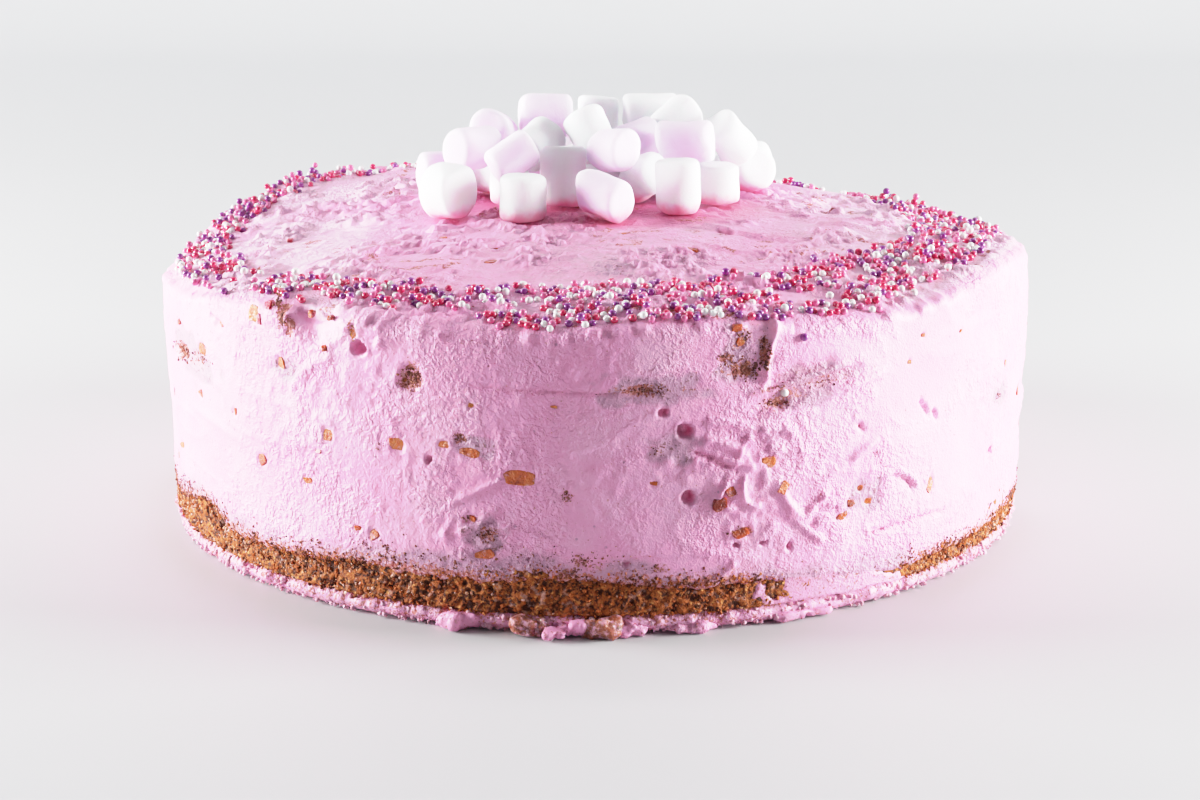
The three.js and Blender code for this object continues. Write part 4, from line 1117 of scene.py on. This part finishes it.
# Lumps at the foot: soft cream and caramel that squeezed out from under the cake when it was set
# down. They rest on the floor and cling to the lip of cream.
FOOT_CREAM = [  # angle, distance of the middle from the axis, how wide, how high, how deep
    (-106.6, 119.4, 11, 4.4, 5), (-94.4, 123.4, 5.6, 3.0, 4.4), (-92.6, 121.2, 7, 4.2, 4.4),
    (-86, 120.2, 10, 3.2, 4.5), (-79, 119.8, 12, 2.6, 4), (40, 119.6, 10, 4.2, 5),
    (132, 120, 8, 4.4, 5), (-64, 119.6, 16, 2.8, 4)]
FOOT_CARAMEL = [  # the same, and tone
    (-98.2, 120.8, 7, 4, 4.6, 0.3), (-96.2, 120.6, 5, 4.4, 4.4, 0.15),
    (-89.6, 121, 10.4, 5, 5, 0.4)]
# The foot lumps' marks: thin, deep, smooth and crumb. Their thin and deep marks colour them darker
# and mauve, as painted shade at the foot.
FOOT_CREAM_MARKS = (0.35, 0.1, 0.2, 0.22)


def foot_lumps(lumps, seed):
    """Torn soft lumps that rest on the floor against the foot of the cake."""
    draw = seeded(seed)
    shape, shape_faces = die_shape(14, 2.6)
    bodies = []
    for angle, radius, wide, high, deep in lumps:
        body = shape * (deep / 2, wide / 2, high / 2)
        at = body + draw.uniform(0, 60, 3)
        swell = 1.1 * wobble(at, 4.2, 81) + 0.7 * wobble(at, 1.8, 82)
        swell = swell + 0.6 * smoothstep(0, 0.2, wobble(at, 2.6, 83))
        swell = swell + 0.35 * wobble(at, 0.9, 84) - 0.3
        body = body * (1 + swell / np.linalg.norm(body + 1e-6, axis=1))[:, None]
        body = place(np.array(angle), radius, high / 2 + 0.1) + body @ wall_frame(angle)
        body[:, 2] = np.maximum(body[:, 2], 0.05)
        bodies.append((body, shape_faces))
    return together(bodies)


points, faces = foot_lumps(FOOT_CREAM, 82)
foot_marks = [(mark, np.full(len(points), value))
              for mark, value in zip(COAT_MARKS, FOOT_CREAM_MARKS)]
foot_cream = solid_object("foot_cream", points, faces, foot_marks, cream_material)
points, faces = foot_lumps([lump[:5] for lump in FOOT_CARAMEL], 83)
tones = np.repeat([lump[5] for lump in FOOT_CARAMEL], len(points) // len(FOOT_CARAMEL))
foot_caramel = solid_object("foot_caramel", points, faces, [("tone", tones)], bit_finish(
    "creamy_caramel", (0.12, 0.022, 0.012, 1), (0.36, 0.085, 0.04, 1), (0.50, 0.17, 0.09, 1),
    roughness=0.5, smeared=0.85))
for piece in (foot_cream, foot_caramel):
    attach(piece, "root")

# Sugar pearls: hard balls of sugar about 2 mm across, white, pale pink, red and purple, strewn by
# hand in a ring just inside the rim. They lie in the soft cream, some of them on each other.
PEARL_BAND = [  # angle, inner and outer radius of the ring, and how thickly the pearls lie
    (-170, 104, 118, 0.6), (-150, 103, 119.5, 0.62), (-135, 100, 117.5, 0.66),
    (-120, 98, 117, 0.7), (-110, 95, 110, 0.5), (-100, 88, 118.5, 0.74), (-90, 84, 120.5, 0.96),
    (-80, 87, 120, 1.05), (-70, 88, 119, 0.95), (-60, 89, 119.5, 0.82), (-50, 84, 118, 0.85),
    (-40, 86, 115.5, 0.95), (-30, 91, 114, 0.9), (-20, 91, 113, 0.8), (-10, 90, 112, 0.8),
    (0, 91, 115, 0.75), (12, 92, 115, 0.8), (25, 95, 117, 0.75), (42, 103, 116, 0.55),
    (65, 105, 115, 0.5), (90, 105, 115, 0.5), (115, 105, 116, 0.55), (135, 105, 116, 0.7),
    (150, 104, 117, 0.85), (168, 103, 117.5, 0.85)]
PEARL_SIZES = (1.7, 2.15)
PEARL_TRIES = 15000
# A pearl has room where the next is farther off than ROOM of their size. Where it is nearer, but
# farther than ON_TOP, a share STAYING lies on the others. Middles sit SUNK radii above the cream.
ROOM = 0.86
ON_TOP = 0.5
STAYING = 0.05
SUNK = 0.62
# Pearls that stuck to the side: angle, height and colour
SIDE_PEARLS = [(-65.4, 73, "purple"), (-67.6, 59.4, "white")]
SIDE_PEARL_RADIUS = 1.05
SIDE_PEARL_PROUD = 0.4
ROLLING_STEPS = 14
# Width of the squares that the pearls are sorted into, to find their neighbours
CELL = 3
PEARL_COLORS = {  # share of all pearls, and the colour of the sugar
    "white": (0.21, (0.93, 0.89, 0.90, 1)), "pink": (0.29, (0.86, 0.15, 0.37, 1)),
    "red": (0.28, (0.74, 0.006, 0.10, 1)), "purple": (0.22, (0.26, 0.017, 0.26, 1))}


def gathered(x, y, half):
    """Pearls roll together where they lie close, and push each other aside where they overlap."""
    for _ in range(ROLLING_STEPS):
        dx, dy = x[:, None] - x, y[:, None] - y
        apart = np.hypot(dx, dy) + 10 * np.eye(len(x)) + 1e-6
        gap = apart - (half[:, None] + half)
        pull = np.where(gap < 0, 0.45 * gap, np.where(gap < 0.6, 0.1 * gap, 0)) / apart
        push = [np.clip((pull * apart_by).sum(1), -0.3, 0.3) for apart_by in (dx, dy)]
        x, y = x - push[0], y - push[1]
    return x, y


def pearl_places():
    """Pearls strewn one by one. A pearl that lands on others stays on top of them, or is lost."""
    draw = seeded(91)
    angle = draw.uniform(-180, 180, PEARL_TRIES)
    share = draw.uniform(0, 1, PEARL_TRIES)
    bands = np.array(PEARL_BAND, float)
    inner, outer, cover = (around(bands[:, [0, column]], angle) for column in (1, 2, 3))
    inner = inner + 3 * wobble(place(angle, 100, 0), 9, 92)
    radius = np.sqrt(lerp(inner ** 2, outer ** 2, share))
    edge = smoothstep(0, 0.22, share) * (1 - smoothstep(0.9, 1, share))
    spots = place(angle, radius, 0)
    clump = wobble(spots, 8, 93) + 0.8 * wobble(spots, 4, 94) + 1.2 * (cover - 0.6)
    chance = (0.25 + 0.75 * edge) * smoothstep(-0.3, 0.25, clump) + 0.014
    kept = draw.uniform(0, 1, PEARL_TRIES) < chance
    x, y = spots[kept, 0], spots[kept, 1]
    half = draw.uniform(*PEARL_SIZES, len(x)) / 2
    low, high, cells = [], [], {}
    for k, (px, py) in enumerate(zip(x, y)):
        column, row = int(px // CELL), int(py // CELL)
        beside = [(column + i, row + j) for i in (-1, 0, 1) for j in (-1, 0, 1)]
        near = [j for cell in beside for j in cells.get(cell, ())]
        gaps = (math.hypot(px - x[j], py - y[j]) / (half[k] + half[j]) for j in near)
        closest = min(gaps, default=2)
        if closest > ROOM:
            cells.setdefault((column, row), []).append(k)
            low.append(k)
        elif closest > ON_TOP and draw.uniform() < STAYING:
            high.append(k)
    lx, ly = gathered(x[low], y[low], half[low])
    lz = top_surface(np.degrees(np.arctan2(ly, lx)), np.hypot(lx, ly)) + SUNK * half[low]
    found = list(zip(lx, ly, lz, half[low]))
    for k in high:
        apart = np.hypot(lx - x[k], ly - y[k])
        reach = half[low] + half[k]
        under = apart < reach
        if under.sum() >= 2:
            lift = np.sqrt(reach[under] ** 2 - apart[under] ** 2)
            found.append((x[k], y[k], (lz[under] + lift).max(), half[k]))
            lx, ly, lz = np.append(lx, x[k]), np.append(ly, y[k]), np.append(lz, found[-1][2])
            low.append(k)
    return np.array(found)


def pearl_finish(name, color):
    pearl = Finish(name, Roughness=0.22, Subsurface_Weight=0.15, Subsurface_Scale=0.001,
                   Subsurface_Radius=(1, 0.6, 0.6), Specular_IOR_Level=0.8,
                   Coat_Weight=0.65, Coat_Roughness=0.12)
    pale = tuple(lerp(c, 1, 0.06) for c in color[:3]) + (1,)
    dark = tuple(0.75 * c for c in color[:3]) + (1,)
    shade = pearl.blend(pearl.patches(0.35, 0.65, 2.6, 1), dark, pale)
    pearl.give("Base Color", pearl.blend(0.5, shade, color))
    pearl.give("Normal", pearl.bump(pearl.noise(0.7, 2), 0.04))
    return pearl.material


pearls = pearl_places()
pearl_draw = seeded(95)
shares = np.array([share for share, _ in PEARL_COLORS.values()])
kinds = pearl_draw.choice(len(shares), len(pearls), p=shares / shares.sum())
for kind, (name, (_, color)) in enumerate(PEARL_COLORS.items()):
    chosen = pearls[kinds == kind]
    for angle, z in [(angle, z) for angle, z, stuck in SIDE_PEARLS if stuck == name]:
        middle = place(np.array(angle), coat_surface(angle, z)[0] + SIDE_PEARL_PROUD, z)
        chosen = np.concatenate([chosen, [[*middle, SIDE_PEARL_RADIUS]]])
    sugar = pearl_finish("sugar_" + name, color)
    piece = grains("pearls_" + name, chosen[:, :3], chosen[:, 3], sugar)
    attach(piece, "root")

# Marshmallows: small white and lilac ones, extruded foam cut into short lengths and dusted with
# starch. They are heaped by hand, so each is squeezed, dented and turned its own way.
MALLOW_COLUMNS = 40
# Half a marshmallow's outline, as shares of its half thickness and half length, from end to middle
MALLOW_PROFILE = [
    (0.3, 0.97), (0.55, 0.985), (0.72, 1.0), (0.83, 0.99), (0.91, 0.955), (0.965, 0.90),
    (0.995, 0.82), (1.0, 0.70), (0.995, 0.48), (0.985, 0.24), (0.98, 0.0)]
MALLOW_END = 0.955
MALLOW_DENTS = 3
MALLOW_DENT_AT = (0.72, 0.95)
FIRST_MALLOW_SEED = 200
CREAM_AND_BOUNCE_PINK = (0.92, 0.28, 0.42, 1)


def mallow_pose(node):
    """Middle, axis, half thickness and half length of a marshmallow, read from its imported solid."""
    mesh = node.data
    corners = np.array([v.co[:] for v in mesh.vertices]) / MM
    normals = np.array([p.normal[:] for p in mesh.polygons])
    areas = np.array([p.area for p in mesh.polygons])
    alike = np.abs(normals @ normals.T) > 0.9995
    axis = normals[np.argmax(alike @ areas)]
    along = corners @ axis
    middle_along = (along.max() + along.min()) / 2
    spread = corners - np.outer(along, axis)
    half = np.linalg.norm(spread - (spread.max(0) + spread.min(0)) / 2, axis=1).max()
    centre = (corners.max(0) + corners.min(0)) / 2
    centre = centre + axis * (middle_along - centre @ axis)
    return centre, axis, half, (along.max() - along.min()) / 2


def mallow_mesh(centre, axis, half, half_length, seed):
    """A marshmallow a little oval, skewed and dented, in the place of its solid."""
    draw = seeded(seed)
    guide = np.array([0, 0, 1.0]) if abs(axis[2]) < 0.9 else np.array([1.0, 0, 0])
    right = np.cross(guide, axis)
    right /= np.linalg.norm(right)
    front = np.cross(axis, right)
    turns = np.radians(np.linspace(0, 360, MALLOW_COLUMNS, endpoint=False))
    oval, lean_oval = draw.uniform(0.02, 0.07), draw.uniform(0, math.pi)
    skew = draw.normal(0, 0.05, 2)
    rings = []
    for r, up in [(r, -up) for r, up in MALLOW_PROFILE] + MALLOW_PROFILE[-2::-1]:
        width = r * (1 + oval * np.cos(2 * (turns - lean_oval)) - oval) * (1 - 0.03 * up * up)
        x, y = width * np.cos(turns) + skew[0] * up, width * np.sin(turns) + skew[1] * up
        rings.append(np.stack([x, y, np.full_like(turns, up)], axis=-1))
    tip = np.array([[skew[0] * 0.95, skew[1] * 0.95, MALLOW_END]])
    body, faces, _ = joined(rings, rings, -tip, tip)
    scaled = body * (half, half, half_length)
    push = 0.28 * wobble(scaled + draw.uniform(0, 50, 3), 6.5, 101)
    push = push + 0.12 * wobble(scaled + draw.uniform(0, 50, 3), 2.8, 102)
    for _ in range(MALLOW_DENTS):
        way = draw.normal(size=3)
        way /= np.linalg.norm(way)
        far = draw.uniform(*MALLOW_DENT_AT) * np.max(scaled @ way)
        reach = np.maximum(scaled @ way - far, 0)
        scaled = scaled - np.outer(0.7 * reach ** 2 / (reach + 0.7), way)
    length = np.linalg.norm(scaled, axis=1)[:, None]
    scaled = scaled * (1 + (push[:, None] - 0.08) / length)
    return centre + scaled @ np.stack([right, front, axis]), faces


def mallow_finish(name, color, shade):
    """Dull foam, pink towards its foot where it stands in the cream: partly cream smeared on it,
    partly painted pink light bounced from the cream.
    """
    mallow = Finish(name, Roughness=0.75, Subsurface_Weight=0.75, Subsurface_Scale=0.013,
                    Subsurface_Radius=(1, 0.75, 0.85), Specular_IOR_Level=0.25, Sheen_Weight=0.1)
    tint = mallow.blend(mallow.patches(0.35, 0.7, 7, 2) * 0.5, color, shade)
    cream_and_bounce = mallow.mark("cream_and_bounce") + (mallow.noise(3, 3) - 0.5) * 0.6
    tint = mallow.blend(mallow.step(cream_and_bounce, 0.15, 1.0), tint, CREAM_AND_BOUNCE_PINK)
    mallow.give("Base Color", tint)
    mallow.give("Roughness", mallow.noise(3, 2) * 0.2 + 0.65)
    dimples = mallow.bump(mallow.noise(3, 2), 0.25)
    mallow.give("Normal", mallow.bump(mallow.noise(0.55, 2), 0.1, below=dimples))
    return mallow.material


mallow_materials = {
    "white": mallow_finish("marshmallow_white", (0.91, 0.945, 0.985, 1), (0.89, 0.925, 0.97, 1)),
    "lilac": mallow_finish("marshmallow_lilac", (0.89, 0.69, 0.91, 1), (0.86, 0.64, 0.88, 1))}
for tint, material in mallow_materials.items():
    stood_for = sorted(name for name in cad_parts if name.startswith("marshmallow_" + tint))
    points, faces = together([
        mallow_mesh(*mallow_pose(bpy.data.objects[name]), FIRST_MALLOW_SEED + int(name[-2:]))
        for name in stood_for])
    far = np.hypot(points[:, 0], points[:, 1])
    above = points[:, 2] - top_height(np.degrees(np.arctan2(points[:, 1], points[:, 0])), far)
    # Pink at each foot, up to 7 mm above the cream: partly smeared cream, partly painted pink light
    # bounced from the cream.
    cream_and_bounce = 1 - smoothstep(0.3, 7, above)
    heap = solid_object("marshmallows_" + tint, points, faces, [("cream_and_bounce", cream_and_bounce)], material)
    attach(heap, "root")
    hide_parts(*stood_for)

# The stage: a plain pale floor that bends up into a backdrop, large soft lights at both sides, a
# little light from in front and above, washes for the far floor, and the camera.
CAMERA_PLACE = (0.0012, -0.6854, 0.2122)
CAMERA_PITCH = 15.08
FOCAL_PIXELS = 2448.7
IMAGE_WIDTH = 1200
SENSOR_WIDTH = 36
NEAREST_SEEN = 0.01
NEAR_FLOOR = ((0.49, 0.49, 0.50, 1), (0.53, 0.53, 0.54, 1))
FAR_FLOOR = (0.80, 0.81, 0.83, 1)
LIGHTS = [  # name, place and aim in metres, width, height and watts
    ("left_softbox", (-0.85, 0.02, 0.215), (0, 0, 0.06), 0.4, 0.36, 26),
    ("right_softbox", (0.85, -0.052, 0.215), (0, 0, 0.06), 0.4, 0.36, 27),
    ("front_fill", (0.1, -1.6, 0.5), (0, 0, 0.1), 1.2, 0.5, 0.4),
    ("top_fill", (0.1, 0.1, 1.4), (0, 0, 0.05), 0.5, 0.35, 0.6),
    ("backdrop_wash", (0, 0.55, 1.3), (0, 1.5, 0.1), 1.6, 0.5, 12),
    ("left_wash", (-0.95, 0, 1.1), (-1.9, 0, 0), 2.4, 0.5, 26),
    ("right_wash", (0.95, 0, 1.1), (1.9, 0, 0), 2.4, 0.5, 26),
    ("front_wash", (0, -1.7, 1.1), (0, -2.8, 0), 2.4, 0.5, 26)]
WORLD_COLOR = (0.93, 0.94, 0.96, 1)
WORLD_STRENGTH = 0.06


def floor_finish():
    floor = Finish("pale_floor", Roughness=0.6)
    across = floor.node("ShaderNodeSeparateXYZ", {}, {"Vector": floor.position()}, "Y")
    near = floor.blend(floor.noise(400, 2), *NEAR_FLOOR)
    floor.give("Base Color", floor.blend(floor.step(across, 0.3, 1.4), near, FAR_FLOOR))
    return floor.material


def sweep_mesh():
    """A floor that bends up into a backdrop behind the cake."""
    half_width, front, back, level, bend, height, steps = 4000, -4000, 1500, -0.02, 500, 2600, 12
    profile = [(front, level), (back - bend, level)]
    for k in range(1, steps + 1):
        turn = math.radians(90 * k / steps)
        profile.append((back - bend + bend * math.sin(turn), bend - bend * math.cos(turn)))
    profile.append((back, height))
    points = np.array([(x, y, z) for y, z in profile for x in (-half_width, half_width)], float)
    return points, [(2 * k, 2 * k + 1, 2 * k + 3, 2 * k + 2) for k in range(len(profile) - 1)]


sweep = solid_object("sweep", *sweep_mesh(), material=floor_finish())

for name, where, towards, wide, high, watts in LIGHTS:
    light = bpy.data.lights.new(name, "AREA")
    light.shape = "RECTANGLE"
    light.size, light.size_y, light.energy = wide, high, watts
    lamp = bpy.data.objects.new(name, light)
    bpy.context.scene.collection.objects.link(lamp)
    lamp.location = where
    aim = np.array(towards) - np.array(where)
    flat = math.hypot(aim[0], aim[1])
    lamp.rotation_euler = (math.atan2(flat, -aim[2]), 0, math.atan2(aim[1], aim[0]) - math.pi / 2)

world = bpy.data.worlds.new("studio")
world.use_nodes = True
sky = world.node_tree.nodes["Background"]
sky.inputs["Color"].default_value = WORLD_COLOR
sky.inputs["Strength"].default_value = WORLD_STRENGTH
bpy.context.scene.world = world
view = bpy.context.scene.view_settings
view.view_transform = "Standard"
# Bright tones roll off softly, as on film: (light in the scene, light shown), up to FILM_WHITE
FILM_WHITE = 4
FILM_CURVE = [
    (0.3, 0.3), (0.45, 0.43), (0.55, 0.51), (0.75, 0.62), (0.95, 0.735), (1.2, 0.825), (1.6, 0.89),
    (2.2, 0.945), (3, 0.985)]
view.use_curve_mapping = True
view.curve_mapping.white_level = (FILM_WHITE, FILM_WHITE, FILM_WHITE)
for light_in, light_out in FILM_CURVE:
    view.curve_mapping.curves[3].points.new(light_in / FILM_WHITE, light_out)
view.curve_mapping.update()

lens = bpy.data.cameras.new("camera")
lens.sensor_width = SENSOR_WIDTH
lens.lens = FOCAL_PIXELS * SENSOR_WIDTH / IMAGE_WIDTH
lens.clip_start = NEAREST_SEEN
camera = bpy.data.objects.new("camera", lens)
camera.location = CAMERA_PLACE
camera.rotation_euler = (math.radians(90 - CAMERA_PITCH), 0, 0)
bpy.context.scene.collection.objects.link(camera)
bpy.context.scene.camera = camera
